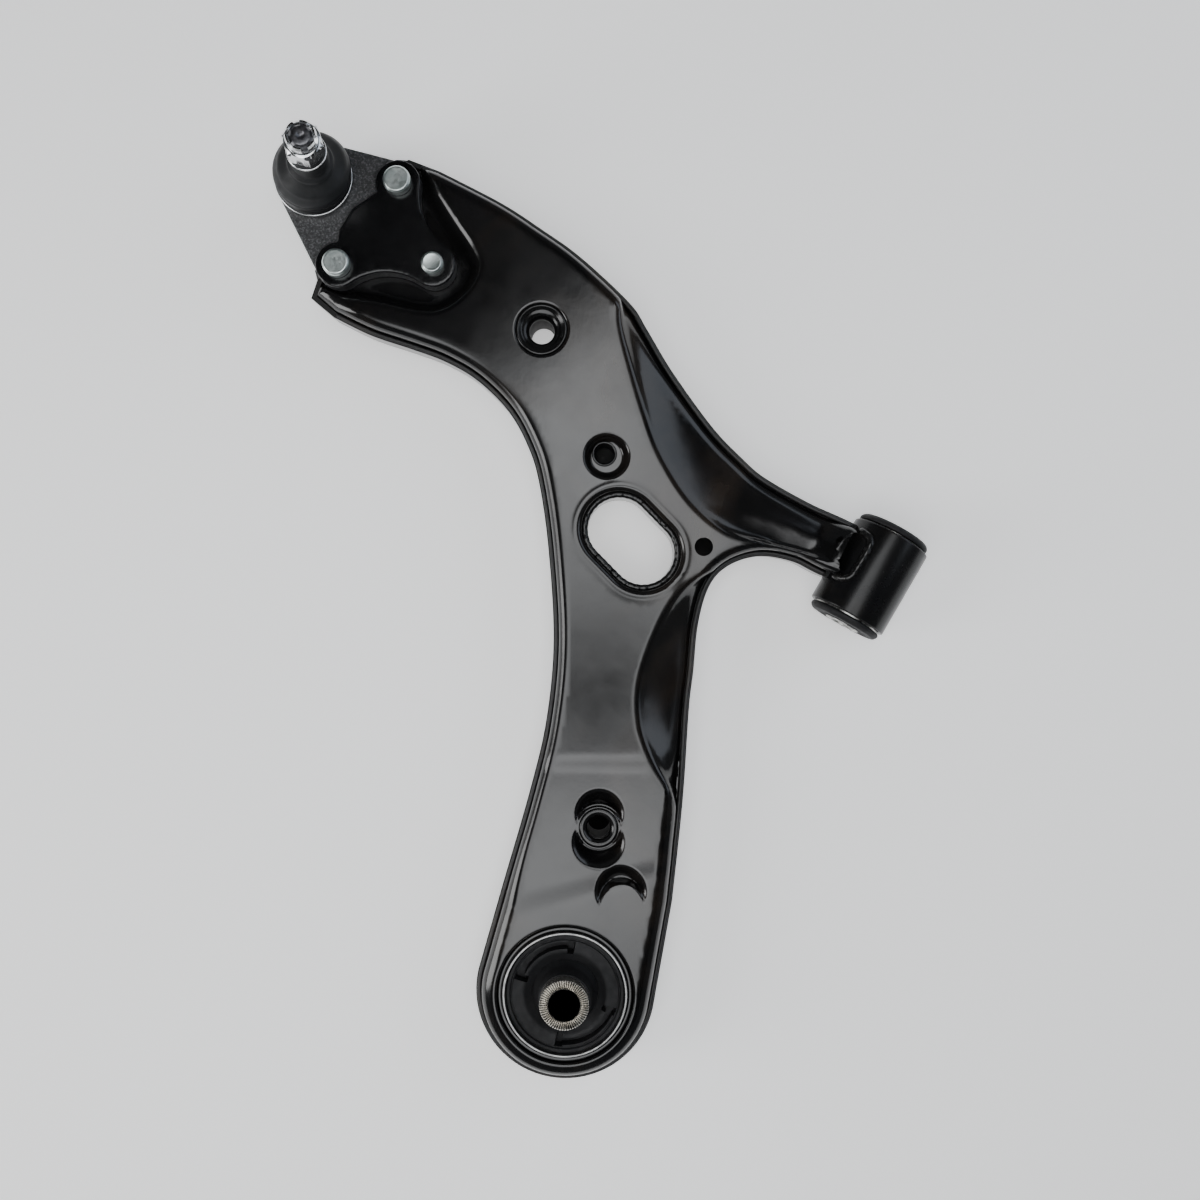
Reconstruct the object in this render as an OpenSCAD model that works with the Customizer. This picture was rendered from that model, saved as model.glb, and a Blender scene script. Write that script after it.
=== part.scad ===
// Front lower control arm of a passenger car, right-angled pattern:
// a pressed box-section arm with two rubber bushes and a bolted ball joint.
// Millimetres, +Z up. The origin is on the axis of the rear bush, at the
// middle of the pressed box. +Y runs along the axis of the front bush.

/* [Pressed arm] */
// Thickness of both pressed sheets
sheet_t = 3; // [2.5:0.1:3.2]
// Height of the upper sheet's flat top above the seam plane
top_z = 15; // [14:0.5:16]
// Depth of the lower sheet's flat bottom below the seam plane
bottom_z = 15; // [14:0.5:16]
// Height of the lowered flanks and of the front leg
flank_z = 7; // [6:0.5:9]
// Height of the seat that the ball joint is bolted to
seat_z = 5; // [4.5:0.5:6]
// Height of the lower sheet's rim, where the two sheets are welded
rim_z = 3.5; // [2.5:0.5:4]
// Radius of the arm's end round the rear bush
rear_end_r = 50; // [49:0.5:51]

/* [Front bush] */
// Offset of the front bush axis from the rear one, across the car
front_x = 33; // [31:0.5:34]
// Distance from the rear bush to the middle of the front one
front_y = 285.5; // [284:0.5:287]
// Height of the front bush axis
front_z = -4; // [-5:0.5:-3]
// Outer radius of the welded tube
tube_r = 22.5; // [22:0.1:23]
// Length of the welded tube
tube_l = 51; // [48:1:52]
// Outer radius of the pressed-in steel shell
front_shell_r = 19; // [18.5:0.1:19.5]
// Radius of the bolt hole
front_bore_r = 7.1; // [6.1:0.1:7.2]
// Length of the inner sleeve
front_sleeve_l = 62; // [60:1:64]

/* [Rear bush] */
// Outer radius of the pressed-in ring
rear_ring_r = 34.5; // [34:0.1:35]
// Outer radius of the housing collar
rear_housing_r = 37.7; // [37.4:0.1:38]
// Radius of the bolt hole
rear_bore_r = 8.5; // [8.1:0.1:9]
// Outer radius of the inner sleeve
rear_sleeve_r = 13.4; // [13:0.1:13.8]
// Height of the sleeve's top face
rear_sleeve_top = 32; // [31:0.5:33]
// Depth of the sleeve's bottom face
rear_sleeve_bottom = 28; // [27:0.5:29]
// Radius of the rounded rubber core that tilts with the sleeve
rear_core_r = 20; // [19.5:0.5:20.5]

/* [Ball joint] */
// Place of the ball's centre
ball_pos = [-343.5, 320, 3];
// Lean of the stud at rest, in degrees
stud_lean = 5.4; // [0:0.1:8]
// Direction in which the stud leans, in degrees from +X
stud_lean_dir = 47; // [0:1:360]
// Radius of the ball
ball_r = 12.5; // [12:0.5:13]
// Outer radius of the forged socket
socket_r = 22; // [21.5:0.1:22.5]
// Height of the forging's rough web
web_z = 13; // [12:0.5:13.5]
// Height of the forging's flat pad, round the fasteners
pad_z = 16; // [15:0.5:16.5]
// Radius of the pad's three lobes
lobe_r = 12.3; // [12:0.1:12.5]
// Radius of the stud's thread
thread_r = 6; // [5.5:0.1:6.5]
// Width of the castle nut across its flats
nut_af = 19; // [18:0.5:19]

/* [Hidden] */

$fn = 96;
eps = 0.1;
far = 400;

// Colours
paint = [0.05, 0.05, 0.06];
rubber = [0.13, 0.13, 0.14];
zinc = [0.72, 0.75, 0.76];
forged = [0.16, 0.16, 0.17];

// Gap between the two nested skirts
skirt_gap = 0.2;
skirt_bottom = -5;
// Outside of the weld that joins the leg to the front tube
tube_bead_r = tube_r + 2;

// Points of the arm's outline, clockwise from the upper finger
// The outboard edge runs from the upper finger to the front leg
outboard_edge = [
    [-289, 361], [-251, 362.8], [-225, 361.5], [-197.5, 358.8], [-161, 350.4],
    [-145, 342.4], [-121, 329], [-86, 313.3], [-62, 306.3], [-46, 303.4],
    [-18, 303.6], [8, 306], [40, 306]
];
// The inboard edge runs from the front leg to the rear bush
inboard_edge = [
    [40, 273.5], [5, 271.5], [-11, 270.2], [-28, 263.3], [-39.8, 250],
    [-43, 235], [-37.8, 213.8], [-26.8, 189.4], [-18.5, 170.2], [4, 124.3],
    [27, 72.5]
];
// The back edge runs from the rear bush to the lower finger
back_edge = [
    [-60.5, 36], [-72.8, 86], [-84.7, 125.2], [-103.7, 166.2], [-132.2, 209.5],
    [-155.3, 238.8], [-170.6, 252.8], [-189, 263.8], [-212, 270], [-233, 270.3],
    [-252, 267.2], [-277, 262.2], [-300, 260.6]
];
// The two fingers end on either side of the socket
upper_finger = [-308, 358];
lower_finger = [-316.5, 263.5];
finger_end = [
    [-319, 276], [-320.5, 288], [-319.5, 300], [-317, 320], [-318, 335],
    [-314.5, 348]
];

// Edge of the flat top beside the outboard flank and the front leg
flank_edge_out = [
    [-172, 360], [-164, 344.5], [-157, 333.5], [-142, 318], [-123, 300],
    [-103, 283.5], [-76, 269.5], [-50, 265], [-28, 270], [-8, 275.5],
    [10, 278], [40, 279]
];
// Edge of the flat top beside the inboard flank
flank_edge_in = [
    [-38, 251], [-52, 236], [-57.5, 213], [-52.5, 175.5], [-40.5, 151.5],
    [-23.5, 136], [-6, 126], [6, 116]
];
// Edge of the sunk seat for the ball joint
seat_edge = [
    [-340, 270], [-300, 272.5], [-281, 278], [-251, 289], [-240, 308],
    [-241, 324], [-250, 331], [-265, 338], [-290, 351], [-304, 358.5],
    [-340, 370]
];

// Centres of the long window's two round ends, and its radii
window_a = [-102.5, 237.5];
window_b = [-84.5, 232.5];
window_r = 17.5;
window_lower_r = window_r + sheet_t;
window_upper_r = window_lower_r + skirt_gap + sheet_t;
window_weld_z = 9;

// Places of the collars and of the locating hole
front_collar_pos = [-194.5, 311];
front_collar_bore_r = 6.75;
front_collar_r = 10;
front_flare_r = 14.2;
flare_z = top_z - sheet_t;
link_collar_pos = [-130.5, 269.5];
link_collar_bore_r = 5.5;
link_collar_r = 7;
link_dimple_r = 12.4;
link_dimple_z = 9;
rear_collar_pos = [-30, 89];
rear_collar_bore_r = 6.4;
rear_collar_r = 11;
locating_hole_pos = [-57.3, 252];
locating_hole_r = 5.1;

// Pockets pressed beside the rear collar and above the rear bush
pocket_z = 10;
pocket_a = [-33.5, 96];
pocket_a_r = 13.5;
pocket_b = [-26, 82];
pocket_b_r = 14.5;
half_moon = [-2, 65];
half_moon_r = 14.3;
half_moon_tongue = [2.5, 58.5];
half_moon_tongue_r = 12;

// Fasteners of the ball joint, and the middle of its socket
socket = [ball_pos[0], ball_pos[1]];
stud_places = [[-303, 341.3], [-309.2, 285.6]];
bolt_place = [-264, 312];
stud_shank_r = 6;
head_r = 7.6;
head_top = 22;
bolt_r = 6.2;
bolt_top = 20;
nut_h = 10;
socket_bottom = -20;
socket_bore_r = 15.5;
socket_neck_r = 18;
socket_top = 17.4;
// The mouth is a cone that leaves room for the stud at its full swing
mouth_start_r = 7.5;
mouth_slope = 0.56;

// Heights along the stud, from the ball's centre
nut_from = 54;
nut_hex_h = 11;
nut_h_all = 17;
stud_end = 70.5;
boot_split = 30;
boot_ring_z = 18.3;

// One point on a curve through b and c, with a and d beside them
function blend_point(a, b, c, d, t) =
    0.5 * (2 * b + (c - a) * t + (2 * a - 5 * b + 4 * c - d) * t * t
        + (3 * b - a - 3 * c + d) * t * t * t);
// A smooth curve through all points of an open list
function smooth(p, steps = 4) =
    let (last = len(p) - 1)
    concat(
        [for (i = [0 : last - 1], s = [0 : steps - 1])
            blend_point(p[max(i - 1, 0)], p[i], p[i + 1], p[min(i + 2, last)], s / steps)],
        [p[last]]
    );
// Points on an arc, from angle a to angle b
function arc(r, a, b, n) = [for (i = [0 : n]) let (g = a + (b - a) * i / n) r * [cos(g), sin(g)]];
function unit(v) = v / norm(v);
function left_of(v) = [-v[1], v[0]];
// Closed outline moved by d to the left of its direction, so outwards where the
// points run clockwise and inwards where they run the other way
function shifted(p, d) =
    let (n = len(p))
    [for (i = [0 : n - 1])
        let (
            u = unit(p[i] - p[(i + n - 1) % n]),
            w = unit(p[(i + 1) % n] - p[i]),
            m = unit(left_of(u) + left_of(w))
        )
        p[i] + m * d / max(m * left_of(u), 0.55)];

outline = concat(
    [upper_finger], smooth(outboard_edge),
    smooth(inboard_edge),
    arc(rear_end_r, 21, -163, 26),
    smooth(back_edge), [lower_finger], smooth(finger_end)
);
upper_outline = shifted(outline, -sheet_t - skirt_gap);
seat_curve = concat(smooth(seat_edge), [[-380, 370], [-380, 270]]);
flank_out_curve = concat(smooth(flank_edge_out), [[60, 400], [-172, 400]]);
flank_in_curve = concat(smooth(flank_edge_in), [[40, 116], [40, 251]]);

// A bar between two round ends
module bar(a, ra, b, rb) {
    d = norm(b - a);
    g = atan2(b[1] - a[1], b[0] - a[0]);
    k = acos((ra - rb) / d);
    translate(a)
        circle(r = ra);
    translate(b)
        circle(r = rb);
    polygon([
        a + ra * [cos(g + k), sin(g + k)],
        a + ra * [cos(g - k), sin(g - k)],
        b + rb * [cos(g - k), sin(g - k)],
        b + rb * [cos(g + k), sin(g + k)]
    ]);
}
// A flat-faced block of a given outline between two heights
module slab(z0, z1) {
    translate([0, 0, z0])
        linear_extrude(z1 - z0)
            children();
}
module post(place, r, z0, z1) {
    translate([place[0], place[1], z0])
        cylinder(r = r, h = z1 - z0);
}
module pipe(place, r_out, r_in, z0, z1) {
    difference() {
        post(place, r_out, z0, z1);
        post(place, r_in, z0 - 1, z1 + 1);
    }
}
module window_block(r, z0, z1) {
    slab(z0, z1)
        bar(window_a, r, window_b, r);
}
// Space of the front bush tube, which the leg is cut to fit
module tube_space(r) {
    translate([front_x, front_y + tube_l, front_z])
        rotate([90, 0, 0])
            cylinder(r = r, h = 2 * tube_l);
}
// Parts along the front bush axis are made along Z and laid down here
module on_front_axis() {
    translate([front_x, front_y, front_z])
        rotate([-90, 0, 0])
            children();
}
// Holes that go through both sheets
module through_holes() {
    post([0, 0], rear_housing_r, -far, far);
    post(front_collar_pos, front_collar_r, -far, far);
    post(rear_collar_pos, rear_collar_r, -far, far);
    for (p = concat(stud_places, [bolt_place]))
        post(p, bolt_r + 0.3, -far, far);
}

// Outside of the upper pressing, or its inside when grown by the sheet
module upper_form(grow, outer) {
    difference() {
        slab(outer ? skirt_bottom : skirt_bottom - 1, top_z - grow)
            polygon(shifted(outline, -sheet_t - skirt_gap - grow));
        slab(seat_z - grow, far)
            polygon(shifted(seat_curve, -grow));
        slab(flank_z - grow, far)
            polygon(shifted(flank_out_curve, -grow));
        slab(flank_z - grow, far)
            polygon(shifted(flank_in_curve, -grow));
        post(link_collar_pos + [2, -1], link_dimple_r + grow, link_dimple_z - grow, far);
        difference() {
            union() {
                post(pocket_a, pocket_a_r + grow, pocket_z - grow, far);
                post(pocket_b, pocket_b_r + grow, pocket_z - grow, far);
            }
            post(rear_collar_pos, rear_collar_r + 3 - grow, -far, far);
        }
        difference() {
            post(half_moon, half_moon_r + grow, pocket_z - grow, far);
            post(half_moon_tongue, half_moon_tongue_r - grow, -far, far);
        }
    }
}
module upper_shell() {
    color(paint)
        difference() {
            union() {
                difference() {
                    upper_form(0, true);
                    upper_form(sheet_t, false);
                }
                window_block(window_upper_r, skirt_bottom + 3, top_z - eps);
            }
            window_block(window_upper_r - sheet_t, -far, far);
            through_holes();
            post(front_collar_pos, front_flare_r, flare_z, far);
            post(link_collar_pos, link_collar_r, -far, far);
            post(locating_hole_pos, locating_hole_r, 0, far);
            tube_space(tube_r);
            // The skirt stops above the lower sheet's raised seat
            slab(-far, seat_z - sheet_t)
                polygon(shifted(seat_curve, -sheet_t - skirt_gap));
        }
}

module lower_form(grow, outer) {
    difference() {
        slab(-bottom_z + grow, outer ? rim_z : rim_z + 1)
            polygon(shifted(outline, -grow));
        slab(-far, seat_z - 2 * sheet_t + grow)
            polygon(shifted(seat_curve, -grow));
    }
}
module lower_shell() {
    color(paint)
        difference() {
            union() {
                difference() {
                    lower_form(0, true);
                    lower_form(sheet_t, false);
                }
                window_block(window_lower_r, -bottom_z + eps, window_weld_z);
            }
            window_block(window_r, -far, far);
            through_holes();
            tube_space(tube_r);
        }
}

// Bead along the rim of the lower sheet
module seam_weld() {
    color(paint)
        difference() {
            slab(rim_z, rim_z + 1.6)
                polygon(shifted(outline, -0.8));
            slab(0, far)
                polygon(upper_outline);
            tube_space(tube_bead_r);
            slab(0, far)
                polygon([[-340, 200], [-300, 200], [-300, 400], [-340, 400]]);
        }
}
module window_weld() {
    color(paint)
        difference() {
            window_block(window_lower_r, window_weld_z, window_weld_z + 2);
            window_block(window_r + 0.6, -far, far);
        }
}

// Spacer tube with a dished head, let into the upper sheet
module front_collar() {
    color(paint)
        translate([front_collar_pos[0], front_collar_pos[1], 0])
            rotate_extrude()
                polygon([
                    [front_collar_bore_r, -bottom_z], [front_collar_r, -bottom_z],
                    [front_collar_r, flare_z], [front_flare_r, flare_z],
                    [front_flare_r, top_z - 0.2], [front_flare_r - 1.2, top_z - 0.2],
                    [front_collar_r - 1.5, top_z - 3.8], [front_collar_bore_r, top_z - 7]
                ]);
}
module link_collar() {
    color(paint)
        pipe(link_collar_pos, link_collar_r, link_collar_bore_r, -bottom_z + sheet_t, link_dimple_z + 1.5);
}
module rear_collar() {
    color(paint)
        pipe(rear_collar_pos, rear_collar_r, rear_collar_bore_r, -bottom_z, top_z - 0.5);
}

module front_bush_tube() {
    color(paint)
        on_front_axis()
            pipe([0, 0], tube_r, front_shell_r, -tube_l / 2, tube_l / 2);
}
// Fillet of weld where the leg's end meets the tube
module tube_weld() {
    color(paint)
        difference() {
            intersection() {
                on_front_axis()
                    pipe([0, 0], tube_bead_r, tube_r, -18.5, 18.5);
                slab(-bottom_z, flank_z + 2)
                    polygon([[0, 268], [0, 310], [30, 310], [30, 268]]);
            }
            upper_form(0, true);
            lower_form(0, true);
        }
}
module front_outer_sleeve() {
    color(zinc)
        on_front_axis()
            pipe([0, 0], front_shell_r, front_shell_r - 1.6, -tube_l / 2 - 0.8, tube_l / 2 + 0.8);
}
module front_rubber() {
    inner = front_bore_r + 2.9 + 0.04;
    outer = front_shell_r - 1.6;
    half = tube_l / 2 + 0.8;
    lip = front_shell_r + 1.5;
    color(rubber)
        on_front_axis()
            rotate_extrude()
                polygon([
                    [inner, -half - 3.4], [lip - 3, -half - 3.4], [lip, -half - 1.6],
                    [lip, -half], [outer, -half], [outer, half], [lip, half],
                    [lip, half + 1.6], [lip - 3, half + 3.4], [inner, half + 3.4]
                ]);
}
module front_inner_sleeve() {
    color(zinc)
        on_front_axis()
            pipe([0, 0], front_bore_r + 2.9, front_bore_r, -front_sleeve_l / 2, front_sleeve_l / 2);
}

module rear_housing() {
    color(paint)
        pipe([0, 0], rear_housing_r, rear_ring_r, -18, top_z - 2);
}
module rear_outer_ring() {
    color(zinc)
        pipe([0, 0], rear_ring_r, rear_ring_r - 1.4, -20, top_z);
}
// Outer rubber, dished round a spherical hollow and cut by two curved voids
module rear_rubber() {
    outer = rear_ring_r - 1.4;
    face = 11.5;
    dish = 8;
    void_r = 24.8;
    void_w = 3.6;
    color(rubber)
        difference() {
            rotate_extrude()
                polygon([
                    [0, -dish], [rear_core_r - 2, -dish], [rear_core_r + 4, -face - 2],
                    [outer, -face - 2], [outer, face], [rear_core_r + 4, face],
                    [rear_core_r - 2, dish], [0, dish]
                ]);
            sphere(r = rear_core_r + 0.3);
            for (g = [109, 289])
                rotate(g)
                    translate([0, 0, face - 7])
                        rotate_extrude(angle = 84)
                            translate([void_r, 0])
                                square([void_w, 20]);
        }
}
// Rounded rubber bonded to the sleeve, which tilts in the hollow
module rear_rubber_core() {
    waist = 11;
    boss_r = rear_sleeve_r + 0.8;
    color(rubber)
        difference() {
            union() {
                sphere(r = rear_core_r);
                translate([0, 0, waist])
                    cylinder(r1 = rear_core_r - 3.5, r2 = boss_r, h = 12);
                translate([0, 0, -waist - 12])
                    cylinder(r1 = boss_r, r2 = rear_core_r - 3.5, h = 12);
            }
            post([0, 0], rear_sleeve_r, -far, far);
        }
}
module rear_inner_sleeve() {
    color(zinc)
        pipe([0, 0], rear_sleeve_r, rear_bore_r, -rear_sleeve_bottom, rear_sleeve_top);
}

// Outline of the forging: bars from the socket to the two studs, and the pad
module forging_outline() {
    for (p = stud_places)
        bar(socket, socket_r, p, lobe_r);
    polygon(concat([socket], stud_places));
    pad_outline();
}
module pad_outline() {
    for (p = concat(stud_places, [bolt_place]))
        translate(p)
            circle(r = lobe_r);
    polygon([stud_places[0], bolt_place, stud_places[1], [-314, 300], [-313, 324]]);
}
module lug_holes() {
    for (p = concat(stud_places, [bolt_place]))
        post(p, stud_shank_r, -far, far);
}
// Cone that the stud's neck sweeps, widened by a gap
module stud_sweep(gap) {
    reach = 40;
    translate(ball_pos)
        cylinder(r1 = mouth_start_r + gap, r2 = mouth_start_r + gap + mouth_slope * reach, h = reach);
}
module ball_housing() {
    color(forged)
        difference() {
            union() {
                slab(seat_z, web_z)
                    forging_outline();
                slab(seat_z, pad_z)
                    pad_outline();
                post(socket, socket_r, socket_bottom + 2, web_z + 1);
                post(socket, socket_neck_r, web_z, socket_top);
            }
            post(socket, socket_bore_r, socket_bottom - 1, web_z - 1);
            post(socket, socket_r - 3, socket_bottom - 1, socket_bottom + 5);
            stud_sweep(0.6);
            lug_holes();
        }
}
module socket_cap() {
    color(zinc)
        post(socket, socket_r - 3, socket_bottom, socket_bottom + 4.5);
}
// Plastic shell that the ball turns in
module ball_seat() {
    color([0.85, 0.85, 0.8])
        difference() {
            post(socket, socket_bore_r, socket_bottom + 5, web_z - 1);
            translate(ball_pos)
                sphere(r = ball_r + 0.05);
            stud_sweep(0);
        }
}

// Parts on the stud are made along Z from the ball's centre and leaned here
module on_stud() {
    translate(ball_pos)
        rotate([0, 0, stud_lean_dir])
            rotate([0, stud_lean, 0])
                children();
}
module ball_stud() {
    color(zinc)
        on_stud()
            difference() {
                union() {
                    sphere(r = ball_r);
                    cylinder(r = 6.4, h = 25);
                    translate([0, 0, 22])
                        cylinder(r1 = 6.4, r2 = 8.2, h = 4);
                    translate([0, 0, 26])
                        cylinder(r1 = 8.2, r2 = 7.3, h = 26);
                    cylinder(r = thread_r - 0.04, h = stud_end - 1.2);
                    translate([0, 0, stud_end - 1.2])
                        cylinder(r1 = thread_r - 0.04, r2 = thread_r - 1, h = 1.2);
                }
                translate([0, 0, -ball_r - 1])
                    cylinder(r = far, h = 2.5);
            }
}
module castle_nut() {
    corner_r = nut_af / 2 / cos(30);
    color(zinc)
        on_stud()
            translate([0, 0, nut_from])
                difference() {
                    union() {
                        cylinder(r = corner_r, h = nut_hex_h, $fn = 6);
                        cylinder(r = 8.2, h = nut_h_all);
                    }
                    translate([0, 0, -1])
                        cylinder(r = thread_r, h = far);
                    for (g = [0 : 60 : 120])
                        rotate(g + 30)
                            translate([-far / 2, -1.7, nut_hex_h + 0.6])
                                cube([far, 3.4, far]);
                }
}

module boot_clamp_ring() {
    color(zinc)
        translate([ball_pos[0], ball_pos[1], boot_ring_z])
            rotate_extrude()
                translate([20.7, 0])
                    circle(r = 0.9);
}
// Foot of the dust boot, clamped to the socket's neck
module boot_bell() {
    inner = socket_neck_r + 0.1;
    color(rubber)
        translate([ball_pos[0], ball_pos[1], boot_ring_z])
            rotate_extrude()
                polygon([
                    [inner, -1.9], [20.9, -1.9], [20.9, -1], [19.7, -1], [19.7, 1],
                    [21, 1], [21.2, 4.7], [19.4, 4.7], [18.5, 1.5], [inner, 0]
                ]);
}
// Widest part of the boot, between its foot and the part on the stud
module boot_waist() {
    color(rubber)
        difference() {
            translate([ball_pos[0], ball_pos[1], boot_ring_z])
                rotate_extrude()
                    polygon([
                        [19.2, 5], [21.2, 5], [21.2, 9], [20.6, 12], [19, 15],
                        [16, 19], [14, 19], [17, 14.5], [19.2, 9]
                    ]);
            on_stud()
                translate([0, 0, boot_split])
                    cylinder(r = far, h = far);
        }
}
// Upper part of the boot, which grips the stud
module boot_neck() {
    color(rubber)
        on_stud()
            rotate_extrude()
                polygon([
                    [16.6, boot_split + 0.3], [18.9, boot_split + 0.3], [18.6, boot_split + 1],
                    [12.6, 35.7], [11.9, 38], [10.1, 39], [10.1, 48.4],
                    [9.2, 49], [9.2, 51.4], [9.9, 51.8], [9.9, 53], [9.4, 53.6], [7.7, 53.6],
                    [8.4, 35], [10, 34.2], [15.5, boot_split + 0.9]
                ]);
}
module boot_spring_ring() {
    color(zinc)
        on_stud()
            translate([0, 0, 50.2])
                rotate_extrude()
                    translate([9.85, 0])
                        circle(r = 0.6);
}

// Two serrated studs pressed into the forging, heads up
module press_studs() {
    color(zinc)
        for (p = stud_places) {
            post(p, head_r, pad_z, head_top);
            post(p, stud_shank_r, -nut_h - 4, pad_z);
        }
}
module stud_nuts() {
    under = seat_z - 2 * sheet_t;
    color(zinc)
        for (p = stud_places)
            difference() {
                union() {
                    post(p, 10.5, under - 2, under);
                    translate([p[0], p[1], under - nut_h])
                        cylinder(r = 17 / 2 / cos(30), h = nut_h - 2, $fn = 6);
                }
                post(p, stud_shank_r, -far, far);
            }
}
// Bolt from below, screwed through the forging's third lobe
module clamp_bolt() {
    under = seat_z - 2 * sheet_t;
    color(zinc) {
        post(bolt_place, stud_shank_r, under - eps, bolt_top);
        post(bolt_place, 10.5, under - 2, under);
        translate([bolt_place[0], bolt_place[1], under - 9])
            cylinder(r = 17 / 2 / cos(30), h = 7 + eps, $fn = 6);
    }
}

upper_shell();
lower_shell();
seam_weld();
window_weld();
front_collar();
link_collar();
rear_collar();
front_bush_tube();
tube_weld();
front_outer_sleeve();
front_rubber();
front_inner_sleeve();
rear_housing();
rear_outer_ring();
rear_rubber();
rear_rubber_core();
rear_inner_sleeve();
ball_housing();
socket_cap();
ball_seat();
ball_stud();
castle_nut();
boot_clamp_ring();
boot_bell();
boot_waist();
boot_neck();
boot_spring_ring();
press_studs();
stud_nuts();
clamp_bolt();
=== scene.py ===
"""Looks of a front lower control arm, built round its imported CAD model."""

import math
import random
from contextlib import contextmanager

import bmesh
import bpy
import numpy as np
from mathutils import Matrix, Vector
from mathutils.geometry import delaunay_2d_cdt


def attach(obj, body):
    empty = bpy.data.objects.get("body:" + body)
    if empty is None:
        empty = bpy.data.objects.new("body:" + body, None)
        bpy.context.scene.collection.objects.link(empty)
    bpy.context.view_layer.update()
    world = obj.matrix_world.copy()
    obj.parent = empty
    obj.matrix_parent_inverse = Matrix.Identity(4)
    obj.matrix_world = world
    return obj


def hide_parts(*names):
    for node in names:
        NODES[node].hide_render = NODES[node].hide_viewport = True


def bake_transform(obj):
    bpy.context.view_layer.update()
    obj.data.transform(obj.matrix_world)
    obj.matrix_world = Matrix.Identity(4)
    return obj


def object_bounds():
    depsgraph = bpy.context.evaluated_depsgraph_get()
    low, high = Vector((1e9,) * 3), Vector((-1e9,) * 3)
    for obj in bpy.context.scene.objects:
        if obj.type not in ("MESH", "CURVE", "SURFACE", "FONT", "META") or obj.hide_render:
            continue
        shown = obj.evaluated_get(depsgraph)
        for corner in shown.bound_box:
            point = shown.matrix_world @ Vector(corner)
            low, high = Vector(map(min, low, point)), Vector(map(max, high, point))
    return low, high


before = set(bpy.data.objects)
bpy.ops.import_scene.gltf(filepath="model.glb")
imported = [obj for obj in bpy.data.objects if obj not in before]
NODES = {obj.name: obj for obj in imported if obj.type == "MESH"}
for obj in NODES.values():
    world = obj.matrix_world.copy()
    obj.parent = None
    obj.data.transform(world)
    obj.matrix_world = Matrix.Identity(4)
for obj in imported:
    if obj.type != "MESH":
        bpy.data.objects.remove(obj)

CAD_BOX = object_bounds()
MM = 0.001
# Spacing of the points of a pressed sheet, and rows of faces in its walls
GRID_STEP = 2.6
WALL_ROWS = 5

# ---------------------------------------------------------------- dimensions
# Millimetres, in the frame of the CAD model.
SHEET = 3.0
SKIRT_INSET = SHEET + 0.2
TOP = 15.0
BOTTOM = 15.0
RIM = 3.5
SKIRT_BOTTOM = -5.0
SEAT = 5.0
REAR_END_R = 50.0

OUTBOARD_EDGE = [
    (-289, 361), (-251, 362.8), (-225, 361.5), (-197.5, 358.8), (-161, 350.4),
    (-145, 342.4), (-121, 329), (-86, 313.3), (-62, 306.3), (-46, 303.4),
    (-18, 303.6), (8, 306), (40, 306),
]
INBOARD_EDGE = [
    (40, 273.5), (5, 271.5), (-11, 270.2), (-28, 263.3), (-39.8, 250),
    (-43, 235), (-37.8, 213.8), (-26.8, 189.4), (-18.5, 170.2), (4, 124.3),
    (27, 72.5),
]
BACK_EDGE = [
    (-60.5, 36), (-72.8, 86), (-84.7, 125.2), (-103.7, 166.2), (-132.2, 209.5),
    (-155.3, 238.8), (-170.6, 252.8), (-189, 263.8), (-212, 270), (-233, 270.3),
    (-252, 267.2), (-277, 262.2), (-300, 260.6),
]
UPPER_FINGER = (-308, 358)
LOWER_FINGER = (-316.5, 263.5)
FINGER_END = [
    (-319, 276), (-320.5, 288), (-319.5, 300), (-317, 320), (-318, 335),
    (-314.5, 348),
]
FLANK_OUT = [
    (-172, 360), (-164, 344.5), (-157, 333.5), (-142, 318), (-123, 300),
    (-103, 283.5), (-76, 269.5), (-50, 265), (-28, 270), (-8, 275.5),
    (10, 278), (40, 279),
]
FLANK_IN = [
    (-38, 251), (-52, 236), (-57.5, 213), (-52.5, 175.5), (-40.5, 151.5),
    (-23.5, 136), (-6, 126), (6, 116),
]
SEAT_EDGE = [
    (-340, 270), (-300, 272.5), (-281, 278), (-251, 289), (-240, 308),
    (-241, 324), (-250, 331), (-265, 338), (-290, 351), (-304, 358.5),
    (-340, 370),
]
WINDOW_A = np.array([-102.5, 237.5])
WINDOW_B = np.array([-84.5, 232.5])
WINDOW_R = 17.5
WINDOW_UPPER_R = 20.7
WINDOW_WELD_Z = 9.0

FRONT_COLLAR = np.array([-194.5, 311.0])
FRONT_FLARE_R = 14.2
LINK_COLLAR = np.array([-130.5, 269.5])
LINK_DIMPLE = np.array([-128.5, 268.5])
LINK_DIMPLE_R = 12.4
LINK_R = 7.0
REAR_COLLAR = np.array([-30.0, 89.0])
REAR_COLLAR_R = 11.0
LOCATING_HOLE = np.array([-57.3, 252.0])
LOCATING_R = 5.1
HOUSING_R = 37.7
SLEEVE_TEETH = 60
RING_R = 34.5
RING_IN = 33.1
POCKET_A = (-33.5, 96)
POCKET_A_R = 13.6
POCKET_B = (-26, 82)
POCKET_B_R = 14.6
HALF_MOON = (-2, 65)
HALF_MOON_R = 14.3
TONGUE = (2.5, 58.5)
TONGUE_R = 12.0
# Painted shadow discs on the floor under the two open bores: x, y and radius
FLOOR_SHADES = [(3, -5, 20), (-28, 86, 13)]

BALL = Vector((-343.5, 320, 3))
LEAN = math.radians(5.4)
LEAN_DIR = math.radians(47)
STUDS = [np.array([-303, 341.3]), np.array([-309.2, 285.6])]
BOLT = np.array([-264.0, 312.0])
SOCKET_R = 22.0
WEB_Z = 13.0
PAD_Z = 16.0
LOBE_R = 12.3

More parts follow.
